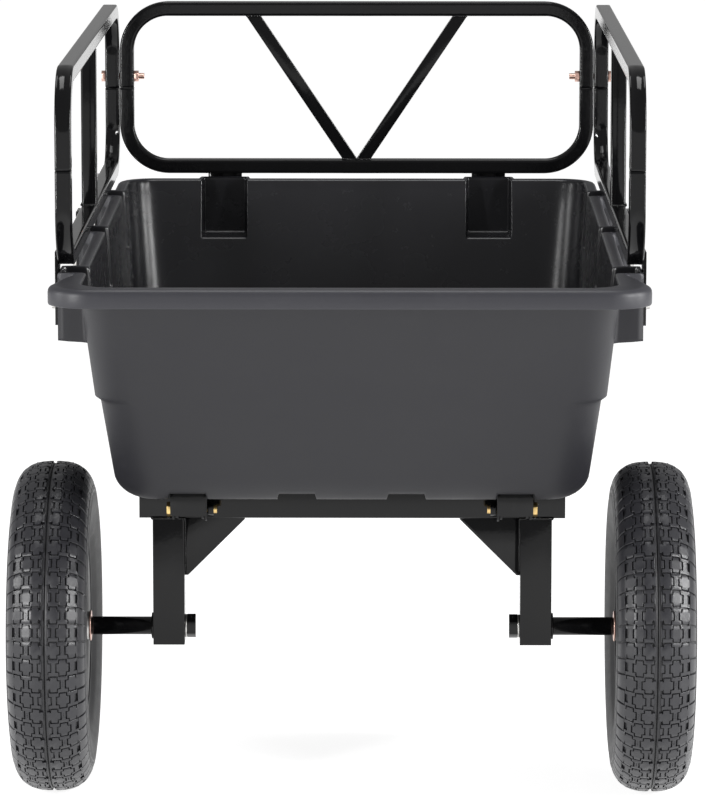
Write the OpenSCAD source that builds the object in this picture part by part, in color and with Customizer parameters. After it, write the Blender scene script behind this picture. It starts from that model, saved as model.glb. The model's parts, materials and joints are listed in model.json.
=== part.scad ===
// Tow-behind dump cart: moulded tub on a tube frame, with three bolted rail loops.
// The cart stands on z = 0, +Y points towards the towing vehicle and X is its width.
// Lengths along the cart are given from the axle line and placed with axle_y.

/* [Tub] */
// Height of the rim above the ground
rim_z = 667; // [640:1:700]
// Depth from the rim to the underside of the floor
tub_depth = 292.5; // [270:0.5:295]
// Length of the tub over its rim
tub_length = 1120; // [1100:5:1140]
// Half width of the tub over its side rims
rim_half = 319; // [316:0.5:321]
// Wall thickness of the moulding
tub_wall = 4.5; // [4:0.5:6]
// How far the rear corners of the rim flare out
ear = 22; // [0:1:26]

/* [Rails] */
// Side of the square rail tube
rail_tube = 19; // [18:0.5:20]
// Height of each rail loop
rail_height = 230; // [200:5:260]
// Bend radius on the tube's centre line
rail_bend = 56; // [40:2:60]
// Wall thickness of the rail tube
rail_wall = 1.5; // [1.2:0.1:2]

/* [Frame] */
// Side of the square frame tube
frame_tube = 38; // [36:1:40]
// Wall thickness of the frame tube
frame_wall = 2.5; // [2:0.5:3.5]
// Half length of the cross tube
cross_half = 257; // [250:1:262]
// Distance from the axle to the front end of the hitch
front_reach = 1350; // [1300:5:1450]
// Half distance between the axle posts
post_half = 222; // [220:0.5:226]
// Radius of the hole for the hitch pin
hitch_bore_r = 8.25; // [7:0.25:9]

/* [Wheels] */
// Outer diameter of a tyre
tyre_d = 400; // [390:2:410]
// Width of a tyre
tyre_w = 97; // [90:1:100]
// Half distance between the two tyres' centres
track_half = 361; // [360:0.5:364]
// Radius of the axle bolt
axle_r = 8; // [7:0.5:9]

/* [Hidden] */
$fn = 48;
gap = 0.3;
eps = 0.05;

// Main levels and lengths, from the axle line
rear_reach = 410;
axle_y = (rear_reach - front_reach) / 2;
axle_z = tyre_d / 2;
floor_z = rim_z - tub_depth;
frame_top = floor_z - 0.5;
frame_mid = frame_top - frame_tube / 2;
lip_rear = axle_y - rear_reach;
lip_front = lip_rear + tub_length;
floor_rear = axle_y - 118;
floor_front = lip_front - 70;

// Tub walls
step_z = rim_z - 154;
skirt_z = rim_z - 22;
wall_foot = 280;
wall_step = 292;
wall_top = 307;
step_out = 6;
foot_r = 30;
ear_length = 150;
corner_steps = 6;
ear_steps = 5;
ear_points = ear_steps - 1;
groove_w = 44;
groove_h = 10;
groove_x = [-195, -65, 65, 195];
outer_groove = 195;
inner_groove = 65;

// Moulded pockets that carry the rails' tabs
pocket_w = 58;
pocket_h = 76;
pocket_wall = 4;
tab_w = 45;
tab_t = 3.5;
tab_drop = 62;
side_pockets = [axle_y - 232, axle_y + 150, axle_y + 532];
front_pockets = [-177, 177];

// Rails
rail_half_x = rim_half + 8;
rail_low = rim_z + 6;
rail_mid = rail_low + rail_height / 2;
rail_face = rail_half_x + rail_tube / 2;
front_rail_y = lip_front + 6;
front_face = front_rail_y + rail_tube / 2;
side_rail_near = axle_y - 288;
side_rail_w = front_rail_y - side_rail_near + rail_tube;
side_rail_y = (front_rail_y + side_rail_near) / 2;
front_rail_w = 2 * (rail_half_x - rail_tube / 2) - 1;
mid_bar_y = axle_y + 196;
brace_tube = 16;
brace_top_x = 138;
brace_foot_x = 9;
corner_bolt_z = rail_mid + 15;
corner_bolt_r = 4;

// Dump hinge
hinge_y = axle_y - 40;
hinge_z = floor_z - 23.5;
hinge_r = 5;
ear_plate = 3;
lug_plate = 4;
lug_half = 17.5;

// Tub rails under the floor, and the striker
tub_rail_w = 42;
tub_rail_t = 3;
rail_end_low = floor_z - 21;
tub_rail_rear = axle_y - 100;
tub_rail_front = axle_y + 600;
floor_bolts = [axle_y + 60, axle_y + 330, axle_y + 575];
floor_bolt_r = 4;
striker_y = axle_y + 700;
striker_z = floor_z + 11.5;
striker_r = 6;
striker_rear = axle_y + 470;
striker_bolts = [axle_y + 500, axle_y + 590];

// Latch
latch_y = axle_y + 735;
latch_z = frame_mid;
latch_bolt_r = 6;
latch_plate_t = 5;
arm_angle = atan2(74, 112);
tail_y = latch_y + 5;
tail_z = latch_z - 33;
spring_r = 7;
anchor_y = axle_y + 866;

// Axle, posts and wheels
post_low = axle_z - frame_tube / 2 - 1;
post_in = post_half - frame_tube / 2;
post_out = post_half + frame_tube / 2;
sleeve_r = 11;
hub_in = track_half - 44;
hub_out = track_half + 34;
hub_r = 17;
bearing_r = 13;
rim_r = 101.5;
rim_sheet = 2.2;
rim_bolt_ring = 52;
rim_bolt_count = 4;

// Hitch
hitch_y = axle_y + front_reach - 25;
hitch_plate_t = 6;
hitch_plate_w = 50;
hitch_bolts_y = [hitch_y - 125, hitch_y - 75];
tongue_end = hitch_y - 38;
holder_y = hitch_y - 250;
holder_x = frame_tube / 2 + 17;
pin_r = 7.9;

// ---- Shared shapes ----

// Square tube along +Z, centred on the axis
module square_tube(length, side, wall) {
  difference() {
    translate([-side / 2, -side / 2, 0]) cube([side, side, length]);
    translate([-side / 2 + wall, -side / 2 + wall, -1])
      cube([side - 2 * wall, side - 2 * wall, length + 2]);
  }
}

// Cylinder along X from x0 to x1
module rod_x(x0, x1, r) {
  translate([x0, 0, 0]) rotate([0, 90, 0]) cylinder(h = x1 - x0, r = r);
}

// Cylinder along Y from y0 to y1
module rod_y(y0, y1, r) {
  translate([0, y0, 0]) rotate([-90, 0, 0]) cylinder(h = y1 - y0, r = r);
}

// Hexagon prism along +Z, measured across its corners
module hex(height, r) {
  cylinder(h = height, r = r, $fn = 6);
}

// Bolt along -Z with its head above z = 0 and its shank below
module bolt(r, length) {
  hex(r * 1.3, r * 1.85);
  translate([0, 0, -length]) cylinder(h = length + eps, r = r);
}

// Nut above z = 0 around a shank of radius r
module nut(r) {
  difference() {
    hex(r * 1.5, r * 1.85);
    translate([0, 0, -1]) cylinder(h = r * 1.5 + 2, r = r + eps);
  }
}

// ---- Tub ----

function ease(t) = t * t * (3 - 2 * t);

function corner(cx, cy, r, from) =
  [for (i = [0:corner_steps]) let (a = from + 90 * i / corner_steps) [cx + r * cos(a), cy + r * sin(a)]];

// Side points that carry the flare at the rear corners, from front (t = 0) to rear (t = 1)
function flare(side, w, y0, r, e, order) =
  [for (i = order) let (t = i / ear_steps) [side * (w + e * ease(t)), y0 + ear_length + (r - ear_length) * t]];

// Rounded outline at height z: half width w, rear y0, front y1, corner radius r, rear flare e
function outline(z, w, y0, y1, r, e) =
  let (flat = concat(
    corner(w - r, y1 - r, r, 0),
    corner(r - w, y1 - r, r, 90),
    flare(-1, w, y0, r, e, [1:ear_points]),
    corner(r - w - e, y0 + r, r, 180),
    corner(w + e - r, y0 + r, r, 270),
    flare(1, w, y0, r, e, [ear_points:-1:1])))
  [for (p = flat) [p[0], p[1], z]];

function share(z, low, high) = (z - low) / (high - low);

// Outer surface of the walls at height z
function wall_half(z) = z < step_z
  ? wall_foot + (wall_step - wall_foot) * share(z, floor_z, step_z)
  : wall_step + step_out + (wall_top - wall_step - step_out) * share(z, step_z, rim_z);
function wall_rear(z) = floor_rear + (lip_rear + 22 - floor_rear) * share(z, floor_z, rim_z);
function wall_front(z) = floor_front + (lip_front - 12 - floor_front) * share(z, floor_z, rim_z);
function wall_corner(z) = 52 - 12 * share(z, floor_z, rim_z);

function wall_ring(z, inset) =
  outline(z, wall_half(z) - inset, wall_rear(z) + inset * 1.4, wall_front(z) - inset, wall_corner(z) - inset, 0);

// Rounded foot of the walls, as rings between the flat floor and the wall
function foot_rings(base, r, inset, angles) =
  [for (a = angles) let (z = base + r * (1 - cos(a)), k = r * (1 - sin(a)))
    outline(z, wall_half(z) - inset - k, wall_rear(z) + inset * 1.4 + k * 0.5,
      wall_front(z) - inset - k * 0.8, wall_corner(z) - inset, 0)];

function rim_ring(z, inset) =
  outline(z, rim_half - inset, lip_rear + inset, lip_front - inset, wall_corner(z) + 6 - inset, ear);

tub_rings = concat(
  foot_rings(floor_z, foot_r, 0, [0, 25, 50, 75]),
  [wall_ring(floor_z + 60, 0), wall_ring(step_z - 3, 0), wall_ring(step_z + 3, 0)],
  [wall_ring(rim_z - 80, 0), wall_ring(rim_z - 4, 0)],
  [rim_ring(rim_z - 4, 4), rim_ring(skirt_z, 4), rim_ring(skirt_z, 0)],
  [rim_ring(rim_z - 6, 0), rim_ring(rim_z - 2, 1.5), rim_ring(rim_z, 5)],
  [wall_ring(rim_z, tub_wall - 3), wall_ring(rim_z - 3, tub_wall), wall_ring(rim_z - 80, tub_wall)],
  [wall_ring(step_z + 3, tub_wall), wall_ring(step_z - 3, tub_wall), wall_ring(floor_z + 60, tub_wall)],
  foot_rings(floor_z + tub_wall, foot_r - 4, tub_wall, [75, 50, 25, 0]));

function ring_middle(ring) = [0, (floor_rear + floor_front) / 2, ring[0][2]];

// Closed skin through a list of rings that all have the same number of points
module skin(rings) {
  n = len(rings[0]);
  m = len(rings);
  points = concat([for (ring = rings) for (p = ring) p], [ring_middle(rings[0]), ring_middle(rings[m - 1])]);
  sides = [for (k = [0:m - 2]) for (i = [0:n - 1]) let (j = (i + 1) % n)
    for (tri = [[k * n + i, (k + 1) * n + i, k * n + j], [k * n + j, (k + 1) * n + i, (k + 1) * n + j]]) tri];
  foot = [for (i = [0:n - 1]) [m * n, i, (i + 1) % n]];
  top = [for (i = [0:n - 1]) [m * n + 1, (m - 1) * n + (i + 1) % n, (m - 1) * n + i]];
  polyhedron(points, concat(foot, sides, top), convexity = 10);
}

// Solid boss or recess of a pocket, with its open side towards -X and its outer face at x = 0
module pocket_block(depth, width, height) {
  translate([-depth, -width / 2, -height]) cube([depth, width, height]);
}

// Places a shape at every pocket: x = 0 is the outer face and z = 0 is the rim
module at_pockets() {
  for (y = side_pockets) {
    translate([rail_face, y, rim_z]) children();
    translate([-rail_face, y, rim_z]) rotate([0, 0, 180]) children();
  }
  for (x = front_pockets) {
    translate([x, front_face, rim_z]) rotate([0, 0, 90]) children();
  }
}

module floor_ridges() {
  for (x = groove_x) {
    translate([x - groove_w / 2 - tub_wall, floor_rear - 5, floor_z + tub_wall - 1])
      cube([groove_w + 2 * tub_wall, floor_front - floor_rear + 3, groove_h + 1]);
  }
}

module floor_grooves() {
  for (x = groove_x) {
    translate([x - groove_w / 2, floor_rear - 40, floor_z - 5])
      cube([groove_w, floor_front - floor_rear + 60, groove_h + 5]);
  }
}

module floor_bolt_holes(r) {
  for (side = [-1, 1]) {
    for (y = floor_bolts) translate([side * outer_groove, y, floor_z - 20]) cylinder(h = 60, r = r);
    for (y = striker_bolts) translate([side * inner_groove, y, floor_z - 20]) cylinder(h = 60, r = r);
  }
}

module tub() {
  color([0.2, 0.2, 0.21])
  difference() {
    union() {
      skin(tub_rings);
      at_pockets() pocket_block(38, pocket_w + 2 * pocket_wall, pocket_h + pocket_wall);
      floor_ridges();
    }
    at_pockets() translate([-pocket_wall, 0, 10]) pocket_block(52, pocket_w, pocket_h + 10);
    floor_grooves();
    floor_bolt_holes(floor_bolt_r + eps);
    at_pockets() translate([0, 0, -40]) rod_x(-10, 10, 2.5 + eps);
  }
}

// ---- Steelwork under the tub ----

// Channel in an outer floor groove, with a closed rear end and two hinge ears
module tub_rail() {
  top = floor_z + groove_h - gap;
  length = tub_rail_front - tub_rail_rear;
  difference() {
    union() {
      difference() {
        translate([-tub_rail_w / 2, tub_rail_rear, floor_z + gap]) cube([tub_rail_w, length, top - floor_z - gap]);
        translate([-tub_rail_w / 2 + tub_rail_t, tub_rail_rear - 1, floor_z - 1])
          cube([tub_rail_w - 2 * tub_rail_t, length + 2, top - floor_z - tub_rail_t + 1]);
      }
      translate([-tub_rail_w / 2, tub_rail_rear, rail_end_low])
        cube([tub_rail_w, tub_rail_t, top - rail_end_low]);
      for (x = [-tub_rail_w / 2, tub_rail_w / 2 - ear_plate]) {
        translate([x, hinge_y - 15, hinge_z]) cube([ear_plate, 30, floor_z + 5 - hinge_z]);
        translate([x, hinge_y, hinge_z]) rod_x(0, ear_plate, 15);
      }
    }
    translate([0, hinge_y, hinge_z]) rod_x(-tub_rail_w, tub_rail_w, hinge_r + eps);
  }
}

module tub_rails() {
  color([0.1, 0.1, 0.1])
  difference() {
    for (side = [-1, 1]) translate([side * outer_groove, 0, 0]) tub_rail();
    floor_bolt_holes(floor_bolt_r + eps);
  }
}

// Two flat arms in the inner grooves, with the latch bar welded across their front ends
module striker() {
  length = striker_y + 10 - striker_rear;
  color([0.12, 0.12, 0.12])
  difference() {
    union() {
      for (side = [-1, 1]) {
        translate([side * inner_groove - 20, striker_rear, floor_z + 4])
          cube([40, length, groove_h - 4 - gap]);
        translate([side * (inner_groove + 15) - 5, striker_y - 10, floor_z + 4]) cube([10, 20, 16]);
      }
      translate([0, striker_y, striker_z]) rod_x(-inner_groove - 15, inner_groove + 15, striker_r);
    }
    floor_bolt_holes(floor_bolt_r + eps);
  }
}

// Places a shape at every floor bolt, with z = 0 on the ridge inside the tub
module at_floor_bolts() {
  for (side = [-1, 1]) {
    for (y = floor_bolts) translate([side * outer_groove, y, floor_z + groove_h + tub_wall]) children();
    for (y = striker_bolts) translate([side * inner_groove, y, floor_z + groove_h + tub_wall]) children();
  }
}

// Round-headed bolts through the floor
module tub_bolts() {
  color("silver")
  at_floor_bolts() {
    intersection() {
      translate([0, 0, -9.5]) sphere(r = 13.5);
      cylinder(h = 5, r = 10);
    }
    translate([0, 0, -13]) cylinder(h = 13.5, r = floor_bolt_r);
  }
}

module tub_nuts() {
  color("silver") {
    for (side = [-1, 1], y = floor_bolts)
      translate([side * outer_groove, y, floor_z + groove_h - gap - tub_rail_t]) rotate([180, 0, 0]) nut(floor_bolt_r);
    for (side = [-1, 1], y = striker_bolts)
      translate([side * inner_groove, y, floor_z + 4]) rotate([180, 0, 0]) difference() {
        hex(3.5, 7.4);
        translate([0, 0, -1]) cylinder(h = 6, r = floor_bolt_r + eps);
      }
  }
}

// ---- Rails ----

// Upper half of a rail loop in the XZ plane: two legs from z = 0, two bends and the top bar
module rail_half(width) {
  leg = width / 2 - rail_tube / 2;
  bar_z = rail_height / 2 - rail_tube / 2;
  for (side = [0, 1]) mirror([side, 0, 0]) {
    translate([leg, 0, 0]) square_tube(bar_z - rail_bend, rail_tube, rail_wall);
    translate([leg - rail_bend, 0, bar_z - rail_bend]) rotate([90, 0, 0])
      rotate_extrude(angle = 90) translate([rail_bend, 0]) difference() {
        square(rail_tube, center = true);
        square(rail_tube - 2 * rail_wall, center = true);
      }
  }
  translate([rail_bend - leg, 0, bar_z]) rotate([0, 90, 0])
    square_tube(2 * (leg - rail_bend), rail_tube, rail_wall);
}

// Holes along X through both front corners of the rails
module corner_bolt_holes() {
  for (side = [-1, 1]) translate([0, front_rail_y, corner_bolt_z])
    mirror([side < 0 ? 1 : 0, 0, 0]) rod_x(rail_half_x - 40, rail_half_x + 20, corner_bolt_r + eps);
}

module front_half(flip) {
  translate([0, front_rail_y, rail_mid]) mirror([0, 0, flip]) rail_half(front_rail_w);
}

module side_half(side, flip) {
  translate([side * rail_half_x, side_rail_y, rail_mid]) mirror([0, 0, flip]) rotate([0, 0, 90]) rail_half(side_rail_w);
}

module front_rail_upper() {
  color([0.1, 0.1, 0.1]) difference() {
    front_half(0);
    corner_bolt_holes();
  }
}

module front_rail_lower() {
  color([0.1, 0.1, 0.1]) front_half(1);
}

module left_rail_upper() {
  color([0.1, 0.1, 0.1]) difference() {
    side_half(-1, 0);
    corner_bolt_holes();
  }
}

module left_rail_lower() {
  color([0.1, 0.1, 0.1]) side_half(-1, 1);
}

module right_rail_upper() {
  color([0.1, 0.1, 0.1]) difference() {
    side_half(1, 0);
    corner_bolt_holes();
  }
}

module right_rail_lower() {
  color([0.1, 0.1, 0.1]) side_half(1, 1);
}

// Two slanting braces that meet over the middle of the bottom bar
module front_rail_braces() {
  low = rail_low + rail_tube;
  high = rail_low + rail_height - rail_tube;
  lean = atan((brace_top_x - brace_foot_x) / (high - low));
  color([0.1, 0.1, 0.1])
  for (side = [0, 1]) mirror([side, 0, 0])
    intersection() {
      translate([brace_foot_x, front_rail_y, low]) rotate([0, lean, 0])
        translate([0, 0, -30]) square_tube(high - low + 100, brace_tube, rail_wall);
      translate([0.2, front_rail_y - 20, low]) cube([300, 40, high - low]);
    }
}

module rail_mid_bars() {
  color([0.1, 0.1, 0.1])
  for (side = [-1, 1])
    translate([side * rail_half_x, mid_bar_y, rail_low + rail_tube])
      square_tube(rail_height - 2 * rail_tube, rail_tube, rail_wall);
}

// Flat tab on the outer face of a bottom bar, hanging over a pocket
module rail_tab() {
  difference() {
    translate([0, -tab_w / 2, -tab_drop]) cube([tab_t, tab_w, tab_drop + rail_low + rail_tube - 2 - rim_z]);
    translate([0, 0, -40]) rod_x(-1, tab_t + 1, 3 + eps);
  }
}

module side_rail_tabs() {
  color([0.1, 0.1, 0.1])
  for (y = side_pockets) {
    translate([rail_face, y, rim_z]) rail_tab();
    translate([-rail_face, y, rim_z]) rotate([0, 0, 180]) rail_tab();
  }
}

module front_rail_tabs() {
  color([0.1, 0.1, 0.1])
  for (x = front_pockets) translate([x, front_face, rim_z]) rotate([0, 0, 90]) rail_tab();
}

// Screws that hold the tabs to the pockets
module tab_screws() {
  color("silver")
  at_pockets() translate([tab_t, 0, -40]) {
    rod_x(0, 1.5, 7);
    translate([1.4, 0, 0]) rotate([0, 90, 0]) hex(4, 5.8);
    rod_x(-tab_t - pocket_wall + 0.2, 0.1, 2.5);
  }
}

module corner_bolts() {
  color([0.75, 0.6, 0.5])
  for (side = [0, 1]) mirror([side, 0, 0])
    translate([rail_face, front_rail_y, corner_bolt_z]) rotate([0, 90, 0]) bolt(corner_bolt_r, 52);
}

module corner_nuts() {
  inner = front_rail_w / 2 - rail_tube;
  color([0.75, 0.6, 0.5])
  for (side = [0, 1]) mirror([side, 0, 0])
    translate([inner, front_rail_y, corner_bolt_z]) rotate([0, -90, 0]) nut(corner_bolt_r);
}

// ---- Frame ----

module cross_tube() {
  color([0.1, 0.1, 0.1])
  translate([-cross_half, axle_y, frame_mid]) rotate([0, 90, 0])
    square_tube(2 * cross_half, frame_tube, frame_wall);
}

module axle_post(side) {
  color([0.1, 0.1, 0.1])
  difference() {
    translate([side * post_half, axle_y, post_low])
      square_tube(frame_top - frame_tube - post_low, frame_tube, frame_wall);
    translate([side * post_half, axle_y, axle_z]) rod_x(-30, 30, axle_r + eps);
  }
}

module left_post() {
  axle_post(-1);
}

module right_post() {
  axle_post(1);
}

// Triangular plates in the inner corners between the posts and the cross tube
module gussets() {
  leg = 73;
  color([0.1, 0.1, 0.1])
  for (side = [0, 1]) mirror([side, 0, 0])
    translate([post_in, axle_y + 2.5, frame_top - frame_tube]) rotate([90, 0, 0])
      linear_extrude(height = 5) polygon([[0, 0], [-leg, 0], [-leg, -4], [-4, -leg], [0, -leg]]);
}

module tongue() {
  start = axle_y + frame_tube / 2;
  color([0.1, 0.1, 0.1])
  difference() {
    translate([0, start, frame_mid]) rotate([-90, 0, 0]) square_tube(tongue_end - start, frame_tube, frame_wall);
    for (y = hitch_bolts_y) translate([0, y, frame_mid - 30]) cylinder(h = 60, r = 5 + eps);
    translate([0, latch_y, latch_z]) rod_x(-30, 30, latch_bolt_r + eps);
  }
}

// Two arms beside the tongue that carry the front of the tub
module front_bolster() {
  arm = 25;
  color([0.1, 0.1, 0.1])
  for (side = [0, 1]) mirror([side, 0, 0])
    translate([frame_tube / 2, axle_y + 545, frame_top - arm / 2]) rotate([0, 90, 0]) square_tube(200, arm, 2);
}

// Pairs of lugs welded to the rear face of the cross tube
module hinge_brackets() {
  reach = axle_y - frame_tube / 2 - hinge_y;
  color([0.1, 0.1, 0.1])
  for (side = [-1, 1]) translate([side * outer_groove, hinge_y, hinge_z])
    difference() {
      union() {
        for (x = [-lug_half, lug_half - lug_plate]) {
          translate([x, 0, 0]) rod_x(0, lug_plate, 13);
          translate([x, 0, -13]) cube([lug_plate, reach, 26]);
        }
        translate([-lug_half, reach - lug_plate, -13]) cube([2 * lug_half, lug_plate, 26]);
      }
      rod_x(-20, 20, hinge_r + eps);
    }
}

module hinge_bolts() {
  color([0.8, 0.66, 0.3])
  for (side = [0, 1]) mirror([side, 0, 0])
    translate([outer_groove + tub_rail_w / 2 + gap, hinge_y, hinge_z]) rotate([0, 90, 0]) bolt(hinge_r, 54);
}

module hinge_nuts() {
  color([0.1, 0.1, 0.1])
  for (side = [0, 1]) mirror([side, 0, 0])
    translate([outer_groove - tub_rail_w / 2 - gap, hinge_y, hinge_z]) rotate([0, -90, 0]) nut(hinge_r);
}

// ---- Latch ----

// Outline of one latch plate around its pivot: hook above, pedal arm in front, tail below
module latch_outline() {
  hook_low = striker_z + striker_r + 0.6 - latch_z;
  difference() {
    union() {
      circle(r = 15);
      polygon([[-26, 0], [-26, hook_low], [-44, hook_low], [-40, hook_low + 12], [-8, hook_low + 12], [12, 0]]);
      polygon([[-8, 14], [104, 14 + 112 * tan(arm_angle)], [112, 80], [12, -4]]);
      polygon([[-12, 0], [12, 0], [12, -38], [-2, -38]]);
    }
    circle(r = latch_bolt_r + eps);
  }
}

module latch_plates() {
  inner = frame_tube / 2 + 0.6;
  color([0.1, 0.1, 0.1])
  translate([0, latch_y, latch_z]) {
    for (x = [-inner - latch_plate_t, inner])
      translate([x, 0, 0]) rotate([90, 0, 90]) linear_extrude(height = latch_plate_t) latch_outline();
    translate([0, tail_y - latch_y, tail_z - latch_z]) rod_x(-inner - 1, inner + 1, 3);
  }
}

// Foot plate across the two arms
module latch_pedal() {
  color([0.1, 0.1, 0.1])
  translate([0, latch_y - 8, latch_z + 14]) rotate([arm_angle, 0, 0]) translate([0, 112 / cos(arm_angle), 0]) {
    translate([-32, -30, 0.1]) cube([64, 46, 4]);
    for (y = [-24:8:8]) translate([-28, y, 4]) cube([56, 3, 2]);
  }
}

module latch_bolt() {
  color([0.8, 0.66, 0.3])
  translate([frame_tube / 2 + 0.6 + latch_plate_t + gap, latch_y, latch_z]) rotate([0, 90, 0]) bolt(latch_bolt_r, 62);
}

module latch_nut() {
  color([0.8, 0.66, 0.3])
  translate([-frame_tube / 2 - 0.6 - latch_plate_t - gap, latch_y, latch_z]) rotate([0, -90, 0]) nut(latch_bolt_r);
}

// Outer shape of the return spring: a tube with a wire eye at each end
module latch_spring() {
  eye_r = 7.5;
  color("silver")
  translate([0, 0, tail_z]) {
    difference() {
      rod_y(tail_y + 11, anchor_y - 15, spring_r);
      rod_y(tail_y + 10, anchor_y - 14, spring_r - 2);
    }
    translate([0, tail_y + 3.4, 0]) rotate([0, 90, 0]) spring_eye(eye_r);
    translate([0, anchor_y - eye_r, 0]) spring_eye(eye_r);
  }
}

module spring_eye(r) {
  rotate_extrude() translate([r, 0]) circle(r = 1);
}

// Eye plate under the tongue that holds the fixed end of the spring
module spring_anchor() {
  low = tail_z - 8;
  color([0.1, 0.1, 0.1])
  difference() {
    translate([-2, anchor_y - 7, low]) cube([4, 22, frame_top - frame_tube - low]);
    translate([0, anchor_y, tail_z]) rod_x(-5, 5, 2.5);
  }
}

// ---- Hitch ----

module hitch_plate(z) {
  difference() {
    union() {
      translate([-hitch_plate_w / 2, hitch_bolts_y[0] - 25, z])
        cube([hitch_plate_w, hitch_y - hitch_bolts_y[0] + 25, hitch_plate_t]);
      translate([0, hitch_y, z]) cylinder(h = hitch_plate_t, r = hitch_plate_w / 2);
    }
    translate([0, hitch_y, z - 1]) cylinder(h = hitch_plate_t + 2, r = hitch_bore_r);
    for (y = hitch_bolts_y) translate([0, y, z - 1]) cylinder(h = hitch_plate_t + 2, r = 5 + eps);
  }
}

module hitch_plate_top() {
  color([0.1, 0.1, 0.1]) hitch_plate(frame_top);
}

module hitch_plate_bottom() {
  color([0.1, 0.1, 0.1]) hitch_plate(frame_top - frame_tube - hitch_plate_t);
}

module hitch_bolts() {
  color("silver")
  for (y = hitch_bolts_y) translate([0, y, frame_top + hitch_plate_t]) bolt(5, 62);
}

module hitch_nuts() {
  color("silver")
  for (y = hitch_bolts_y) translate([0, y, frame_top - frame_tube - hitch_plate_t]) rotate([180, 0, 0]) nut(5);
}

// Short tube on the side of the tongue where the hitch pin is parked
module pin_holder() {
  color([0.1, 0.1, 0.1])
  difference() {
    union() {
      translate([holder_x, holder_y, frame_mid - 15]) cylinder(h = 30, r = 11.4);
      translate([frame_tube / 2, holder_y - 6, frame_mid - 15]) cube([8, 12, 30]);
    }
    translate([holder_x, holder_y, frame_mid - 20]) cylinder(h = 40, r = pin_r + 0.1);
  }
}

module hitch_pin() {
  top = frame_mid + 15 + gap;
  color("silver")
  translate([holder_x, holder_y, 0]) {
    translate([0, 0, top - 90]) cylinder(h = 90, r = pin_r);
    translate([0, 0, top - 96]) cylinder(h = 6.01, r1 = 5, r2 = pin_r);
    translate([0, 0, top]) cylinder(h = 5, r = 13);
    translate([0, 0, top + 4.9]) cylinder(h = 20, r = 6);
    difference() {
      translate([0, 0, top + 18.5]) rod_y(-6, 52, 6);
      translate([0, 40, top + 18.5]) rod_x(-10, 10, 3.2);
    }
  }
}

// Ring clip through the hole in the pin's handle
module hitch_clip() {
  color("silver")
  translate([holder_x, holder_y + 40, frame_mid + 15 + gap + 18.5 - 13.4]) rotate([90, 0, 0])
    rotate_extrude() translate([14, 0]) circle(r = 1.6);
}

// ---- Axle and wheels ----

module on_axle(side) {
  translate([0, axle_y, axle_z]) mirror([side < 0 ? 1 : 0, 0, 0]) children();
}

module axle_bolts() {
  color([0.1, 0.1, 0.1])
  for (side = [-1, 1]) on_axle(side)
    translate([post_in - 2.5, 0, 0]) rotate([0, -90, 0]) bolt(axle_r, hub_out + 14 - post_in);
}

module axle_sleeves() {
  color([0.1, 0.1, 0.1])
  for (side = [-1, 1]) on_axle(side)
    difference() {
      union() {
        rod_x(post_out, hub_in - gap, sleeve_r);
        rod_x(post_out, post_out + 2.5, sleeve_r + 5);
      }
      rod_x(post_out - 1, hub_in, axle_r + eps);
    }
}

module axle_washers() {
  color("silver")
  for (side = [-1, 1]) on_axle(side)
    difference() {
      union() {
        rod_x(post_in - 2.5, post_in, 14);
        rod_x(hub_out + gap, hub_out + gap + 2, 14);
      }
      rod_x(post_in - 5, hub_out + 5, axle_r + eps);
    }
}

module axle_nuts() {
  color("silver")
  for (side = [-1, 1]) on_axle(side)
    translate([hub_out + gap + 2, 0, 0]) rotate([0, 90, 0]) difference() {
      hex(9.5, 14);
      translate([0, 0, -1]) cylinder(h = 14, r = axle_r + eps);
    }
}

// Right half of a tyre's section, bead to crown outside and crown to bead inside:
// each point is a distance across the wheel and a radius
function tyre_outer() = concat(
  [[27, rim_r], [29.5, rim_r], [32, rim_r + 5], [36.5, 120]],
  [for (a = [0:10:90]) [tyre_w / 2 * pow(cos(a), 0.75), 150 + (tyre_d / 2 - 150) * pow(sin(a), 0.75)]]);
function tyre_inner() = concat(
  [for (a = [90:-15:0]) [(tyre_w / 2 - 5) * pow(cos(a), 0.8), 150 + (tyre_d / 2 - 160) * pow(sin(a), 0.8)]],
  [[32, 121], [27, rim_r + 5]]);
function other_side(points) = [for (i = [len(points) - 1:-1:0]) [-points[i][0], points[i][1]]];

module tyre_section() {
  ring = concat(tyre_outer(), other_side(tyre_outer()), other_side(tyre_inner()), tyre_inner());
  polygon([for (p = ring) [p[1], p[0]]]);
}

// Spins a section of (radius, distance across) about the axle of one wheel
module wheel_turn(side) {
  on_axle(side) translate([track_half, 0, 0]) rotate([0, 90, 0]) rotate_extrude($fn = 96) children();
}

module tyre(side) {
  color([0.12, 0.12, 0.12]) wheel_turn(side) tyre_section();
}

// One pressed half of a rim, with its web against the middle plane
module rim_half_section() {
  s = rim_sheet;
  polygon([[hub_r, 0], [66, 0], [74, 11], [92, 12], [rim_r - s, 20], [rim_r - s, 30], [110, 34],
    [110, 34 + s], [rim_r - 1, 31 + s], [rim_r - 2 * s, 31], [rim_r - 2 * s, 20 + s], [91, 12 + s],
    [73, 11 + s], [65, s], [hub_r, s]]);
}

module rim_bolt_places() {
  for (i = [0:rim_bolt_count - 1]) rotate([45 + 90 * i, 0, 0]) translate([0, 0, rim_bolt_ring]) children();
}

module rim_disc(side, face) {
  color([0.8, 0.8, 0.8])
  difference() {
    wheel_turn(side) mirror([0, face < 0 ? 1 : 0]) rim_half_section();
    on_axle(side) translate([track_half, 0, 0]) rim_bolt_places() rod_x(-10, 10, 4 + eps);
    if (face > 0) on_axle(side) translate([track_half, 0, 0]) rotate([90, 0, 0]) translate([0, 0, 84]) rod_x(0, 30, 5);
  }
}

module hub(side) {
  color([0.75, 0.75, 0.75])
  on_axle(side) difference() {
    rod_x(hub_in + 2, hub_out - 2, hub_r);
    rod_x(hub_in, hub_out, bearing_r);
  }
}

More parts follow.
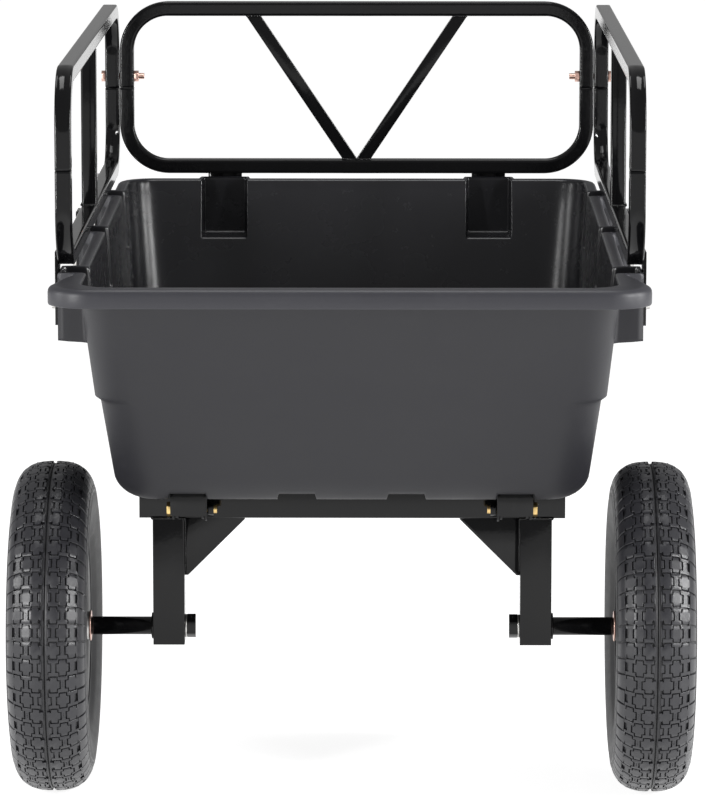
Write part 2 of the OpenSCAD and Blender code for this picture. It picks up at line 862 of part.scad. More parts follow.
module bearings(side) {
  color([0.8, 0.7, 0.65])
  on_axle(side) difference() {
    union() {
      rod_x(hub_in + 2, hub_in + 16, bearing_r);
      rod_x(hub_in, hub_in + 2, 18.5);
      rod_x(hub_out - 16, hub_out - 2, bearing_r);
      rod_x(hub_out - 2, hub_out, 18.5);
    }
    rod_x(hub_in - 5, hub_out + 5, axle_r + eps);
  }
}

module valve(side) {
  color([0.15, 0.15, 0.15])
  on_axle(side) translate([track_half, 0, 0]) rotate([90, 0, 0]) translate([0, 0, 84]) {
    rod_x(5, 12 + rim_sheet + 1.5, 4.9);
    rod_x(12 + rim_sheet + 1.4, 34, 3.5);
    rod_x(33.9, 40, 4);
  }
}

module rim_bolts(side) {
  color("silver")
  on_axle(side) translate([track_half, 0, 0]) rim_bolt_places() {
    translate([rim_sheet, 0, 0]) rotate([0, 90, 0]) bolt(4, 12);
    translate([-rim_sheet, 0, 0]) rotate([0, -90, 0]) hex(6, 7.4);
  }
}

module left_tyre() {
  tyre(-1);
}
module left_rim_inner() {
  rim_disc(-1, -1);
}
module left_rim_outer() {
  rim_disc(-1, 1);
}
module left_hub() {
  hub(-1);
}
module left_bearings() {
  bearings(-1);
}
module left_valve() {
  valve(-1);
}
module left_rim_bolts() {
  rim_bolts(-1);
}
module right_tyre() {
  tyre(1);
}
module right_rim_inner() {
  rim_disc(1, -1);
}
module right_rim_outer() {
  rim_disc(1, 1);
}
module right_hub() {
  hub(1);
}
module right_bearings() {
  bearings(1);
}
module right_valve() {
  valve(1);
}
module right_rim_bolts() {
  rim_bolts(1);
}

tub();
tub_rails();
tub_bolts();
tub_nuts();
striker();
front_rail_upper();
front_rail_lower();
front_rail_braces();
front_rail_tabs();
left_rail_upper();
left_rail_lower();
right_rail_upper();
right_rail_lower();
rail_mid_bars();
side_rail_tabs();
tab_screws();
corner_bolts();
corner_nuts();
cross_tube();
left_post();
right_post();
gussets();
tongue();
front_bolster();
hinge_brackets();
hinge_bolts();
hinge_nuts();
latch_plates();
latch_pedal();
latch_bolt();
latch_nut();
latch_spring();
spring_anchor();
hitch_plate_top();
hitch_plate_bottom();
hitch_bolts();
hitch_nuts();
pin_holder();
hitch_pin();
hitch_clip();
axle_bolts();
axle_sleeves();
axle_washers();
axle_nuts();
left_tyre();
left_rim_inner();
left_rim_outer();
left_hub();
left_bearings();
left_valve();
left_rim_bolts();
right_tyre();
right_rim_inner();
right_rim_outer();
right_hub();
right_bearings();
right_valve();
right_rim_bolts();
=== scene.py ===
"""Looks for a tow-behind dump cart: moulded tub, tube rails, tube frame and pneumatic wheels.

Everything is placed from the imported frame. Shapes are worked out in millimetres in the row frame
(+Y forward, +Z up) and turned into metres when a mesh is made."""
import json
import math

import bmesh
import bpy
import numpy as np
from mathutils import Matrix, Vector


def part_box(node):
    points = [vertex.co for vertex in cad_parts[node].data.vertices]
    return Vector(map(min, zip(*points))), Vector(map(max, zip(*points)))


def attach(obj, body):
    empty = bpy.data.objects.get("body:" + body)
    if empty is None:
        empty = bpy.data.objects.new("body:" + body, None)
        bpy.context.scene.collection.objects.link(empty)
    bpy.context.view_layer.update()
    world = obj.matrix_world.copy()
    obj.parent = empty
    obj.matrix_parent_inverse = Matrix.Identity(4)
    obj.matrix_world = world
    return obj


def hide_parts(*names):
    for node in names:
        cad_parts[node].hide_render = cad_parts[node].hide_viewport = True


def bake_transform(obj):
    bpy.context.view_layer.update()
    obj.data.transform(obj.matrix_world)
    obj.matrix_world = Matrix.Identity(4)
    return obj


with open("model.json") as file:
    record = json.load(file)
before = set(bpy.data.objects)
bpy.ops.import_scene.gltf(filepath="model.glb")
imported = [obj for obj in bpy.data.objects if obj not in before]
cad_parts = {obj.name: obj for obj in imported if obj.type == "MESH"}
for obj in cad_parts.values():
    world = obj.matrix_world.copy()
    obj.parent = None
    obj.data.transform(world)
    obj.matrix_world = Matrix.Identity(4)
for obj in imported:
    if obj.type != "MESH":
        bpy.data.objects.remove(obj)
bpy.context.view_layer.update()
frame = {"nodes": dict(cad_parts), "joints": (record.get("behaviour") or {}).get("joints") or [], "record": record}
NODES = frame["nodes"]
MM = 0.001


# ---------------------------------------------------------------- small helpers

def node_box(name):
    """Lowest and highest corner of a CAD node, in millimetres."""
    low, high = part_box(name)
    return np.array(low) / MM, np.array(high) / MM


def joint(name):
    """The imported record's row of one joint."""
    return next(j for j in frame["joints"] if j["name"] == name)


def ease(t):
    """Smooth step from 0 to 1."""
    t = np.clip(t, 0.0, 1.0)
    return t * t * (3 - 2 * t)


def lerp(a, b, t):
    return a + (b - a) * t


def linked(name, data):
    """A new object in the scene."""
    made = bpy.data.objects.new(name, data)
    bpy.context.scene.collection.objects.link(made)
    return made


def smooth(piece, sharp_degrees=None):
    """Smooth shading, with sharp edges past an angle if one is given."""
    piece.data.polygons.foreach_set("use_smooth", [True] * len(piece.data.polygons))
    if sharp_degrees:
        piece.data.set_sharp_from_angle(angle=math.radians(sharp_degrees))


def new_object(name, vertices, faces):
    """A smooth mesh object from points in millimetres."""
    mesh = bpy.data.meshes.new(name)
    mesh.from_pydata((np.asarray(vertices, float) * MM).tolist(), [], faces)
    mesh.validate()
    piece = linked(name, mesh)
    smooth(piece)
    mesh.update()
    return piece


def mesh_of(name, shape):
    """A mesh from a bmesh, which is freed."""
    mesh = bpy.data.meshes.new(name)
    shape.to_mesh(mesh)
    shape.free()
    return mesh


def skin_faces(rings, count, wrap=False):
    """Quads between neighbouring rings of points; wrap joins the last ring to the first."""
    faces = []
    for k in range(rings if wrap else rings - 1):
        after = (k + 1) % rings
        for i in range(count):
            j = (i + 1) % count
            faces.append((k * count + i, k * count + j, after * count + j, after * count + i))
    return faces


def end_caps(rings, count):
    """The two faces that close the first and the last ring."""
    return [tuple(range(count)), tuple(reversed(range((rings - 1) * count, rings * count)))]


def outward_normals(piece):
    shape = bmesh.new()
    shape.from_mesh(piece.data)
    bmesh.ops.recalc_face_normals(shape, faces=shape.faces)
    shape.to_mesh(piece.data)
    shape.free()


def point_attribute(piece, name, values):
    """Stores one number for each point of a piece."""
    made = piece.data.attributes.new(name, "FLOAT", "POINT")
    made.data.foreach_set("value", values)


def evaluated_copy(piece, name):
    """Plain mesh object holding what a piece's modifiers make; the piece itself is removed."""
    graph = bpy.context.evaluated_depsgraph_get()
    mesh = bpy.data.meshes.new_from_object(piece.evaluated_get(graph), depsgraph=graph)
    bpy.data.objects.remove(piece)
    mesh.name = name
    return linked(name, mesh)


def finish_piece(piece, body, slot, material, *nodes):
    """Gives a piece its material and its body, and hides the CAD nodes that it stands for. The slot argument is
    not used.
    """
    piece.data.materials.clear()
    piece.data.materials.append(material)
    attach(piece, body)
    if nodes:
        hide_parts(*nodes)
    return piece


# ---------------------------------------------------------------- shader maths

class Sock:
    """A shader socket that can be used in Python expressions."""

    def __init__(self, maker, socket):
        self.maker = maker
        self.socket = socket

    def _math(self, operation, a, b=0.0):
        return self.maker.node("ShaderNodeMath", {"operation": operation}, {0: a, 1: b})

    def __add__(self, other):
        return self._math("ADD", self, other)

    __radd__ = __add__

    def __sub__(self, other):
        return self._math("SUBTRACT", self, other)

    def __rsub__(self, other):
        return self._math("SUBTRACT", other, self)

    def __mul__(self, other):
        return self._math("MULTIPLY", self, other)

    __rmul__ = __mul__

    def __truediv__(self, other):
        return self._math("DIVIDE", self, other)

    def __pow__(self, other):
        return self._math("POWER", self, other)

    def least(self, other):
        return self._math("MINIMUM", self, other)

    def absolute(self):
        return self._math("ABSOLUTE", self)


class Graph:
    """Adds nodes to one node tree, from Python expressions."""

    tree = None

    def node(self, kind, settings=None, values=None, out=0):
        """Makes a node: its settings first, then the values or links of its sockets."""
        made = self.tree.nodes.new(kind)
        for key, value in (settings or {}).items():
            setattr(made, key, value)
        for key, value in (values or {}).items():
            self.feed(made.inputs[key], value)
        return Sock(self, made.outputs[out])

    def feed(self, target, value):
        if isinstance(value, Sock):
            self.tree.links.new(value.socket, target)
        else:
            target.default_value = value

    def ramp(self, value, low, high, to_low=0.0, to_high=1.0):
        return self.node("ShaderNodeMapRange", {"clamp": True}, {
            "Value": value, "From Min": low, "From Max": high, "To Min": to_low, "To Max": to_high})

    def axis(self, letter, vector):
        split = self.tree.nodes.new("ShaderNodeSeparateXYZ")
        self.feed(split.inputs[0], vector)
        return Sock(self, split.outputs[letter])


class Finish(Graph):
    """Builds one procedural material."""

    def __init__(self, name):
        self.material = bpy.data.materials.new(name)
        self.material.use_nodes = True
        self.tree = self.material.node_tree
        self.shader = self.tree.nodes["Principled BSDF"]
        coordinates = self.tree.nodes.new("ShaderNodeTexCoord")
        self.place = Sock(self, coordinates.outputs["Object"])

    def set(self, **sockets):
        """Sets sockets of the main shader; a name's underscores stand for spaces."""
        for name, value in sockets.items():
            self.feed(self.shader.inputs[name.replace("_", " ")], value)

    def noise(self, scale, detail=3.0, roughness=0.55):
        return self.node("ShaderNodeTexNoise", {}, {
            "Vector": self.place, "Scale": scale, "Detail": detail, "Roughness": roughness})

    def voronoi(self, scale):
        return self.node("ShaderNodeTexVoronoi", {}, {"Vector": self.place, "Scale": scale})

    def mix(self, share, a, b):
        """Colour between a and b."""
        made = self.tree.nodes.new("ShaderNodeMix")
        made.data_type = "RGBA"
        for socket, value in zip((made.inputs[0], made.inputs[6], made.inputs[7]), (share, a, b)):
            self.feed(socket, value)
        return Sock(self, made.outputs[2])

    def attribute(self, name):
        made = self.tree.nodes.new("ShaderNodeAttribute")
        made.attribute_name = name
        return Sock(self, made.outputs["Fac"])

    def bump(self, height, strength, distance):
        return self.node("ShaderNodeBump", {}, {"Height": height, "Strength": strength, "Distance": distance})


def grey(level, tint=0.0):
    """Opaque grey with a slight blue tint."""
    return (level, level, level * (1 + tint), 1)


def tub_plastic():
    """Moulded polyethylene: dull fine grain outside and a waxy sheen inside. Painted light makes the rolled lip
    paler, and a lighter painted-light copy of the colour covers the inner skin.
    """
    m = Finish("tub_plastic")
    inside = m.attribute("inside")
    lip = m.attribute("lip")
    cloud = m.noise(9, 4)
    grain = m.noise(900, 2)
    fine = m.voronoi(1400)
    scuff = m.ramp(m.noise(38, 6, 0.7), 0.56, 0.74)
    outer = m.mix(cloud, grey(0.0080, 0.30), grey(0.0105, 0.30))
    # Painted highlight: the rolled lip's colour is blended toward a paler grey to stand for light falling on its
    # top.
    outer = m.mix(lip * 0.75, outer, grey(0.032, 0.18))
    # Painted light: the inner skin gets a lighter copy of the same plastic's colour.
    inner = m.mix(cloud, grey(0.0110, 0.14), grey(0.0150, 0.14))
    colour = m.mix(inside, outer, inner)
    colour = m.mix(scuff * 0.08, colour, grey(0.06, 0.08))
    height = grain * 0.6 + fine * 0.4
    rough = m.ramp(cloud, 0.3, 0.7, 0.0, 0.06) + scuff * 0.05 + 0.48 - inside * 0.24 - lip * 0.08
    m.set(Base_Color=colour, Roughness=rough, Normal=m.bump(height, 0.16, 0.0006))
    m.set(Specular_IOR_Level=0.36)
    return m.material


def powder_coat():
    """Glossy black powder coat with a faint orange peel and dull scuffs."""
    m = Finish("black_powder_coat")
    peel = m.noise(210, 2, 0.4)
    speck = m.noise(1500, 1)
    wear = m.ramp(m.noise(60, 6, 0.72), 0.60, 0.80)
    colour = m.mix(wear, grey(0.0026, 0.12), grey(0.008, 0.08))
    m.set(Base_Color=colour, Roughness=m.ramp(peel, 0.2, 0.8, 0.07, 0.11) + wear * 0.12)
    m.set(Normal=m.bump(peel * 0.8 + speck * 0.2, 0.11, 0.0005))
    m.set(Specular_IOR_Level=0.27)
    return m.material


def rim_paint():
    """Satin black paint on pressed steel."""
    m = Finish("rim_paint")
    peel = m.noise(160, 3)
    dust = m.ramp(m.noise(24, 6, 0.7), 0.5, 0.8)
    colour = m.mix(dust * 0.5, grey(0.012, 0.03), grey(0.035, 0.0))
    m.set(Base_Color=colour, Roughness=m.ramp(peel, 0.2, 0.8, 0.30, 0.40), Normal=m.bump(peel, 0.10, 0.0005))
    return m.material


def plated(name, colour, tint):
    """Zinc plate: two close tones in soft blotches, with fine turning marks."""
    m = Finish(name)
    blotch = m.noise(180, 4)
    fine = m.noise(2200, 2)
    m.set(Base_Color=m.mix(m.ramp(blotch, 0.35, 0.65), (*colour, 1), (*tint, 1)), Metallic=1.0)
    m.set(Roughness=m.ramp(fine, 0.3, 0.7, 0.26, 0.40), Normal=m.bump(fine, 0.12, 0.0002))
    return m.material


def tyre_rubber():
    """Dusty black rubber, with painted light that makes the block tops and the crown lighter, and painted shade
    that makes the grooves and the sidewalls darker.
    """
    m = Finish("tyre_rubber")
    depth = m.attribute("tread")
    dust = m.noise(70, 6, 0.7)
    grain = m.noise(1100, 3)
    # Painted light and shade: the tread attribute lightens block tops and the crown and darkens grooves and
    # sidewalls.
    colour = m.mix(depth, grey(0.006, 0.10), grey(0.017, 0.18))
    colour = m.mix(m.ramp(dust, 0.45, 0.75, 0.0, 0.30), colour, grey(0.045, 0.06))
    rough = m.ramp(dust, 0.3, 0.7, 0.52, 0.64) - depth * 0.24
    m.set(Base_Color=colour, Roughness=rough, Normal=m.bump(grain * 0.6 + dust * 0.4, 0.30, 0.0006))
    m.set(Specular_IOR_Level=0.50)
    return m.material


def black_rubber():
    """Plain black rubber of the valve stems."""
    m = Finish("valve_rubber")
    grain = m.noise(900, 3)
    m.set(Base_Color=m.mix(grain, grey(0.010), grey(0.022)), Roughness=m.ramp(grain, 0.3, 0.7, 0.5, 0.65))
    m.set(Normal=m.bump(grain, 0.2, 0.0003))
    return m.material


# ---------------------------------------------------------------- camera

def make_camera():
    """A long lens behind the dump end, a little above the rails and right of the middle."""
    axle_y = joint("left_wheel_spin")["pos_m"][1]
    side, behind_axle, height = 0.048, 5.879, 1.412
    pitch, yaw, lens = 9.03, 0.46, 222.1
    data = bpy.data.cameras.new("camera")
    data.sensor_fit = "AUTO"
    data.sensor_width = 36
    data.lens = lens
    camera = linked("camera", data)
    camera.location = (side, axle_y - behind_axle, height)
    camera.rotation_euler = (math.radians(90 - pitch), 0, math.radians(yaw))
    bpy.context.scene.camera = camera


# ---------------------------------------------------------------- tub

class TubShape:
    """The moulded tub as one closed skin of rings: outer walls, rim, inner walls, and two floors."""

    WALL = 4.5
    WALL_HALVES = (280, 292, 298, 307)  # half widths at the floor, below and above the step, at the rim
    STEP_BELOW_RIM = 154
    STEP_HALF = 3.5
    CORNER_LOW = 52
    CORNER_HIGH = 40
    CORNER_POINTS = 9
    FOOT_R = 30
    FLOOR_REAR = 292  # from the lip's dump end to the floor's edge
    FLOOR_FRONT = 70
    SKIRT = 22  # depth of the lip's rolled edge
    LIP_REAR = 22  # from the lip's outer edge to the wall, at the dump end
    LIP_FRONT = 12
    LIP_CORNER = 6
    EAR = 22  # how far the lip flares at the dump end, and over what length
    EAR_LENGTH = 150
    POCKET_HALF = 29
    POCKET_DEPTH_Z = 76
    POCKET_WALL = 4
    POCKET_OUT_FRONT = 15.5
    POCKET_OVER_TAB = 3.5
    FRONT_POCKETS = (-177, 177)
    TAB_HALF = 22.5
    GROOVE_HALF = 22
    GROOVE_H = 10
    GROOVES = (-195, -65, 65, 195)
    EDGE = 1.5  # half the width of a pocket's or groove's rounded edge
    NEAR_EDGE = (-3.4, -1.5, -0.75, 0, 0.75, 1.5, 3.4)
    STRAIGHT_HALF = 224  # half the part of the front and rear walls that is sampled at fixed places
    STEP_ACROSS = 20
    STEP_ALONG = 26
    PAST_ALL = 9e3  # a place that no pocket or groove reaches

    def __init__(self):
        low, high = node_box("tub")
        self.rim_z, self.floor_z = high[2], low[2]
        self.lip_rear = low[1]
        self.front_face = high[1]
        self.lip_front = self.front_face - self.POCKET_OUT_FRONT
        self.rim_half = high[0] - self.EAR
        tab_low, tab_high = node_box("side_rail_tabs")
        self.side_face = tab_high[0] - self.POCKET_OVER_TAB
        rear, front = tab_low[1] + self.TAB_HALF, tab_high[1] - self.TAB_HALF
        self.side_pockets = [rear, (rear + front) / 2, front]
        self.floor_rear = self.lip_rear + self.FLOOR_REAR
        self.floor_front = self.lip_front - self.FLOOR_FRONT
        self.step_z = self.rim_z - self.STEP_BELOW_RIM
        self.pocket_low = self.rim_z - self.POCKET_DEPTH_Z - self.POCKET_WALL
        self.x_fixed = self._edge_samples(
            [(c, self.GROOVE_HALF, self.WALL) for c in self.GROOVES]
            + [(c, self.POCKET_HALF, self.POCKET_WALL) for c in self.FRONT_POCKETS],
            -self.STRAIGHT_HALF, self.STRAIGHT_HALF, self.STEP_ACROSS)
        self.y_fixed = self._edge_samples(
            [(c, self.POCKET_HALF, self.POCKET_WALL) for c in self.side_pockets],
            self.side_pockets[0] - 36.4, self.side_pockets[2] + 80, self.STEP_ALONG)
        self._stations()

    def _edge_samples(self, features, low, high, step):
        """Places along a side: close together at the edges of each feature, step apart elsewhere."""
        marks = {float(low), float(high)}
        for centre, half, wall in features:
            for edge in (half, half + wall):
                for offset in self.NEAR_EDGE:
                    marks |= {centre - edge - offset, centre + edge + offset}
        marks = sorted(m for m in marks if low <= m <= high)
        kept = [marks[0]]
        for mark in marks[1:]:
            if mark - kept[-1] > 0.6:
                kept.append(mark)
        filled = []
        for a, b in zip(kept, kept[1:]):
            count = max(1, round((b - a) / step))
            filled += [lerp(a, b, i / count) for i in range(count)]
        return np.array(filled + [kept[-1]])

    def _mask(self, places, centres, half):
        """1 inside any of the features, 0 outside, with a smooth edge."""
        total = np.zeros(len(places))
        for centre in centres:
            total += ease((half + self.EDGE - np.abs(places - centre)) / (2 * self.EDGE))
        return np.clip(total, 0, 1)

    def _stations(self):
        """Masks of every point of a ring, in ring order: right, front, left, rear, with their corners."""
        side = len(self.y_fixed) + 4
        across = len(self.x_fixed) + 4
        corner = self.CORNER_POINTS
        self.counts = (side, across, corner)
        self.total = 2 * side + 2 * across + 4 * corner
        past = [self.PAST_ALL] * 2
        ys = np.concatenate([past, self.y_fixed, past])
        xs = np.concatenate([past, self.x_fixed, past])
        gap, flat = np.zeros(corner), np.zeros(side)

        def ringed(right, front, left, rear):
            return np.concatenate([right, gap, front, gap, left, gap, rear, gap])

        self.side_masks, self.front_masks, self.groove_masks = {}, {}, {}
        for key, extra in (("inner", 0), ("outer", self.POCKET_WALL)):
            pocket = self._mask(ys, self.side_pockets, self.POCKET_HALF + extra)
            front = self._mask(xs, self.FRONT_POCKETS, self.POCKET_HALF + extra)
            self.side_masks[key] = ringed(pocket, 0 * xs, pocket[::-1], 0 * xs)
            self.front_masks[key] = ringed(flat, front[::-1], flat, 0 * xs)
            grown = self.GROOVE_HALF + (self.WALL if key == "inner" else 0)
            groove = self._mask(xs, self.GROOVES, grown)
            self.groove_masks[key] = ringed(flat, groove[::-1], flat, groove)

    def share(self, z):
        return (z - self.floor_z) / (self.rim_z - self.floor_z)

    def wall_half(self, z):
        at_floor, under_step, over_step, at_rim = self.WALL_HALVES
        below = lerp(at_floor, under_step, (z - self.floor_z) / (self.step_z - self.floor_z))
        above = lerp(over_step, at_rim, (z - self.step_z) / (self.rim_z - self.step_z))
        return lerp(below, above, ease((z - self.step_z + self.STEP_HALF) / (2 * self.STEP_HALF)))

    def wall_rear(self, z):
        return lerp(self.floor_rear, self.lip_rear + self.LIP_REAR, self.share(z))

    def wall_front(self, z):
        return lerp(self.floor_front, self.lip_front - self.LIP_FRONT, self.share(z))

    def wall_corner(self, z):
        return lerp(self.CORNER_LOW, self.CORNER_HIGH, self.share(z))

    def loop(self, z, half, rear, front, radius, flare=0.0):
        """One ring of points at height z."""
        side, across, corner = self.counts
        y_low, y_high = rear + radius, front - radius
        reference = max(z, self.pocket_low)
        r_low = self.wall_rear(reference) + self.wall_corner(reference)
        r_high = self.wall_front(reference) - self.wall_corner(reference)
        if z >= self.pocket_low:
            middle = self.y_fixed
        else:
            middle = lerp(y_low, y_high, (self.y_fixed - r_low) / (r_high - r_low))
        ys = np.concatenate([[y_low, lerp(y_low, middle[0], 0.5)], middle,
                             [lerp(middle[-1], y_high, 0.5), y_high]])
        x_end = half - radius
        xs = np.concatenate([[-x_end, lerp(-x_end, self.x_fixed[0], 0.5)], self.x_fixed,
                             [lerp(self.x_fixed[-1], x_end, 0.5), x_end]])
        turn = np.radians(np.linspace(0, 90, corner + 2)[1:-1])

        def arc(cx, cy, start):
            return np.stack([cx + radius * np.cos(start + turn), cy + radius * np.sin(start + turn)], 1)

        quarter = math.pi / 2
        flat = np.concatenate([
            np.stack([np.full(side, half), ys], 1), arc(x_end, y_high, 0),
            np.stack([xs[::-1], np.full(across, front)], 1), arc(-x_end, y_high, quarter),
            np.stack([np.full(side, -half), ys[::-1]], 1), arc(-x_end, y_low, 2 * quarter),
            np.stack([xs, np.full(across, rear)], 1), arc(x_end, y_low, 3 * quarter)])
        if flare:
            grow = ease((rear + self.EAR_LENGTH - flat[:, 1]) / (self.EAR_LENGTH - radius))
            flat[:, 0] *= 1 + flare / half * grow
        return np.column_stack([flat, np.full(len(flat), z)])

    def wall(self, z, inset, skin):
        """A ring of the walls, with the pockets pushed out."""
        points = self.loop(z, self.wall_half(z) - inset, self.wall_rear(z) + inset * 1.4,
                           self.wall_front(z) - inset, self.wall_corner(z) - inset * 0.6)
        low = self.pocket_low + (self.POCKET_WALL if skin == "inner" else 0)
        out = 0 if skin == "outer" else self.POCKET_WALL
        rise = float(ease((z - low + self.EDGE) / (2 * self.EDGE)))
        return self.push(points, self.side_masks[skin] * rise, self.front_masks[skin] * rise, out)

    def push(self, points, side, front, inset, z=None):
        """Moves points to the pockets' outer faces, less inset, by their masks."""
        target = np.sign(points[:, 0]) * (self.side_face - inset)
        points[:, 0] = lerp(points[:, 0], target, side)
        points[:, 1] = lerp(points[:, 1], self.front_face - inset, front)
        if z is not None:
            points[:, 2] = lerp(points[:, 2], z, np.maximum(side, front))
        return points

    def rim(self, inset, drop, pocket_inset, pocket_drop, from_wall=False):
        """A ring of the rim: inset from its outer edge or from the inner wall, and drop below its top."""
        z = self.rim_z - drop
        if from_wall:
            inner = self.WALL - inset
            top = self.rim_z
            points = self.loop(z, self.wall_half(top) - inner, self.wall_rear(top) + inner * 1.4,
                               self.wall_front(top) - inner, self.wall_corner(z) - inner * 0.6)
        else:
            points = self.loop(z, self.rim_half - inset, self.lip_rear + inset, self.lip_front - inset,
                               self.wall_corner(z) + self.LIP_CORNER - inset * 0.6, self.EAR)
        skin = "outer" if pocket_inset < 2 else "inner"
        return self.push(points, self.side_masks[skin], self.front_masks[skin], pocket_inset,
                         self.rim_z - pocket_drop)

    def foot(self, angle, skin):
        """A ring of the rounded edge between walls and floor; the floor grooves run out through it."""
        inset = self.WALL if skin == "inner" else 0
        base = self.floor_z + inset
        radius = self.FOOT_R - (4 if skin == "inner" else 0)
        turn = math.radians(angle)
        z = base + radius * (1 - math.cos(turn))
        k = radius * (1 - math.sin(turn))
        points = self.loop(z, self.wall_half(z) - inset - k, self.wall_rear(z) + inset * 1.4 + k * 0.5,
                           self.wall_front(z) - inset - k * 0.8, self.wall_corner(z) - inset * 0.6 - k)
        points[:, 2] += np.maximum(base + self.GROOVE_H - points[:, 2], 0) * self.groove_masks[skin]
        return points

    def rings(self):
        """All rings from the outer floor edge, over the rim, to the inner floor edge.

        Rows of the rim's section give the inset and the drop of the lip, then those of a pocket's top.
        """
        angles = [0, 12, 24, 36, 48.19, 60, 72, 84]
        heights = [self.floor_z + h for h in (34, 60, 85, 110)]
        heights += [self.step_z + h for h in (-9, -3.5, -1.8, 0, 1.8, 3.5, 9)]
        heights += [self.pocket_low - h for h in (35, 16)]
        bottom = [-4, -1.5, -0.6, 0.3, 1.5, 4]
        outer = heights + [self.pocket_low + h for h in bottom] + [self.rim_z - h for h in (60, 40, 26)]
        inner = heights + [self.pocket_low + self.POCKET_WALL + h for h in bottom]
        inner += [self.rim_z - h for h in (55, 35, 16)]
        made = [self.foot(a, "outer") for a in angles]
        made += [self.wall(z, 0, "outer") for z in outer]
        made += [self.wall(self.rim_z - 16, 0, "outer"), self.wall(self.rim_z - 7, 0, "outer")]
        self.rim_start = len(made)
        s = self.SKIRT
        section = [(9, 5.0, 0, 6.6), (5.4, 5.4, 0, 6.3), (4.4, 7.5, 0, 6.0), (4.2, s - 2.0, 0, 5.7),
                   (3.6, s - 0.5, 0, 5.4), (2.1, s, 0, 5.1), (0.6, s - 0.5, 0, 4.8), (0, s - 2.2, 0, 4.4),
                   (0, 13, 0, 3.9), (0, 8.5, 0, 3.3), (0.4, 5.6, 0.1, 2.5), (1.7, 3.0, 0.35, 1.6),
                   (3.8, 1.2, 0.8, 0.8), (6.6, 0.25, 1.3, 0.3), (9.5, 0.0, 1.8, 0.05)]
        made += [self.rim(*row) for row in section]
        inside = [(6.0, 0.0, 2.2, 0.05), (3.2, 0.35, 2.8, 0.4), (1.4, 1.5, 3.4, 1.2), (0.35, 3.5, 3.85, 2.6),
                  (0.0, 6.5, 4.0, 4.6)]
        made += [self.rim(*row, from_wall=True) for row in inside]
        self.rim_stop = len(made)
        made += [self.wall(z, self.WALL, "inner") for z in reversed(inner)]
        made += [self.foot(a, "inner") for a in reversed(angles)]
        return made

    def floor(self, ring, skin):
        """Grid of points that fills a floor ring, with the grooves raised. Rows run along Y."""
        side, across, corner = self.counts
        middle = corner // 2
        right_start, front_start = 0, side + corner
        left_start, rear_start = front_start + across + corner, front_start + across + 2 * corner + side
        last = self.total

        def span(start, stop):
            return [i % last for i in range(start, stop + 1)]

        right = span(last - corner + middle, last + side + middle)
        front = span(side + middle, front_start + across + middle)[::-1]
        left = span(front_start + across + middle, left_start + side + middle)[::-1]
        rear = span(left_start + side + middle, rear_start + across + middle)
        base = self.floor_z + (self.WALL if skin == "inner" else 0)
        u = (ring[rear, 0] - ring[rear[0], 0]) / (ring[rear[-1], 0] - ring[rear[0], 0])
        v = (ring[right, 1] - ring[right[0], 1]) / (ring[right[-1], 1] - ring[right[0], 1])
        grid = np.zeros((len(v), len(u), 3))
        for axis in (0, 1):
            b, t, l, r = (ring[edge, axis] for edge in (rear, front, left, right))
            grid[:, :, axis] = (np.outer(1 - v, b) + np.outer(v, t) + np.outer(l, 1 - u) + np.outer(r, u)
                                - np.outer(1 - v, 1 - u) * b[0] - np.outer(1 - v, u) * b[-1]
                                - np.outer(v, 1 - u) * t[0] - np.outer(v, u) * t[-1])
        first = (corner - middle) + 1
        grid[:, first + 1:first + 1 + len(self.x_fixed), 0] = self.x_fixed
        grown = self.GROOVE_HALF + (self.WALL if skin == "inner" else 0)
        mask = self._mask(grid[:, :, 0].ravel(), self.GROOVES, grown).reshape(len(v), len(u))
        grid[:, :, 2] = base + self.GROOVE_H * mask
        return grid, (left, right, rear, front)

    def build(self):
        rings = self.rings()
        count = self.total
        vertices = [p for ring in rings for p in ring]
        faces = skin_faces(len(rings), count)
        for ring_index, skin in ((0, "outer"), (len(rings) - 1, "inner")):
            grid, (left, right, rear, front) = self.floor(rings[ring_index], skin)
            rows, columns = grid.shape[:2]
            index = np.zeros((rows, columns), int)
            index[:, 0], index[:, -1] = left, right
            index[0], index[-1] = rear, front
            index += ring_index * count
            filling = grid[1:-1, 1:-1].reshape(-1, 3)
            index[1:-1, 1:-1] = len(vertices) + np.arange(len(filling)).reshape(rows - 2, columns - 2)
            vertices += list(filling)
            quads = np.stack([index[:-1, :-1], index[:-1, 1:], index[1:, 1:], index[1:, :-1]], 2)
            turned = quads if skin == "inner" else quads[:, :, ::-1]
            faces += turned.reshape(-1, 4).tolist()
        piece = new_object("moulded_tub", vertices, faces)
        self.mark(piece, len(vertices), len(rings) * count)
        return piece

    def mark(self, piece, points, ring_points):
        """Point attributes: inside is 1 on the inner skin, lip is 1 on the rolled rim."""
        inside = np.zeros(points, np.float32)
        lip = np.zeros(points, np.float32)
        lip[self.rim_start * self.total:self.rim_stop * self.total] = 1
        inside[(self.rim_stop - 3) * self.total:ring_points] = 1
        inside[ring_points + (points - ring_points) // 2:] = 1
        point_attribute(piece, "inside", inside)
        point_attribute(piece, "lip", lip)


# ---------------------------------------------------------------- steel pieces

TUBE_CORNER = 2.6
RAIL_BEND = 56
RAIL_DENT = 3.0
BEND_STEPS = 20
EDGE_ROUNDING = 0.5
LONG_EDGE = 60


def rounded_square(side, corner):
    """Section of a square tube: (across, outward) pairs, anticlockwise, with points along the faces."""
    half = side / 2
    points = []
    for quarter in range(4):
        turn = math.radians(90 * quarter)
        flat = [(half, y) for y in np.linspace(-(half - corner), half - corner, 7)]
        bend = [(half - corner + corner * math.cos(a), half - corner + corner * math.sin(a))
                for a in np.radians([22.5, 45, 67.5])]
        for x, y in flat + bend:
            points.append((x * math.cos(turn) - y * math.sin(turn), x * math.sin(turn) + y * math.cos(turn)))
    return np.array(points)


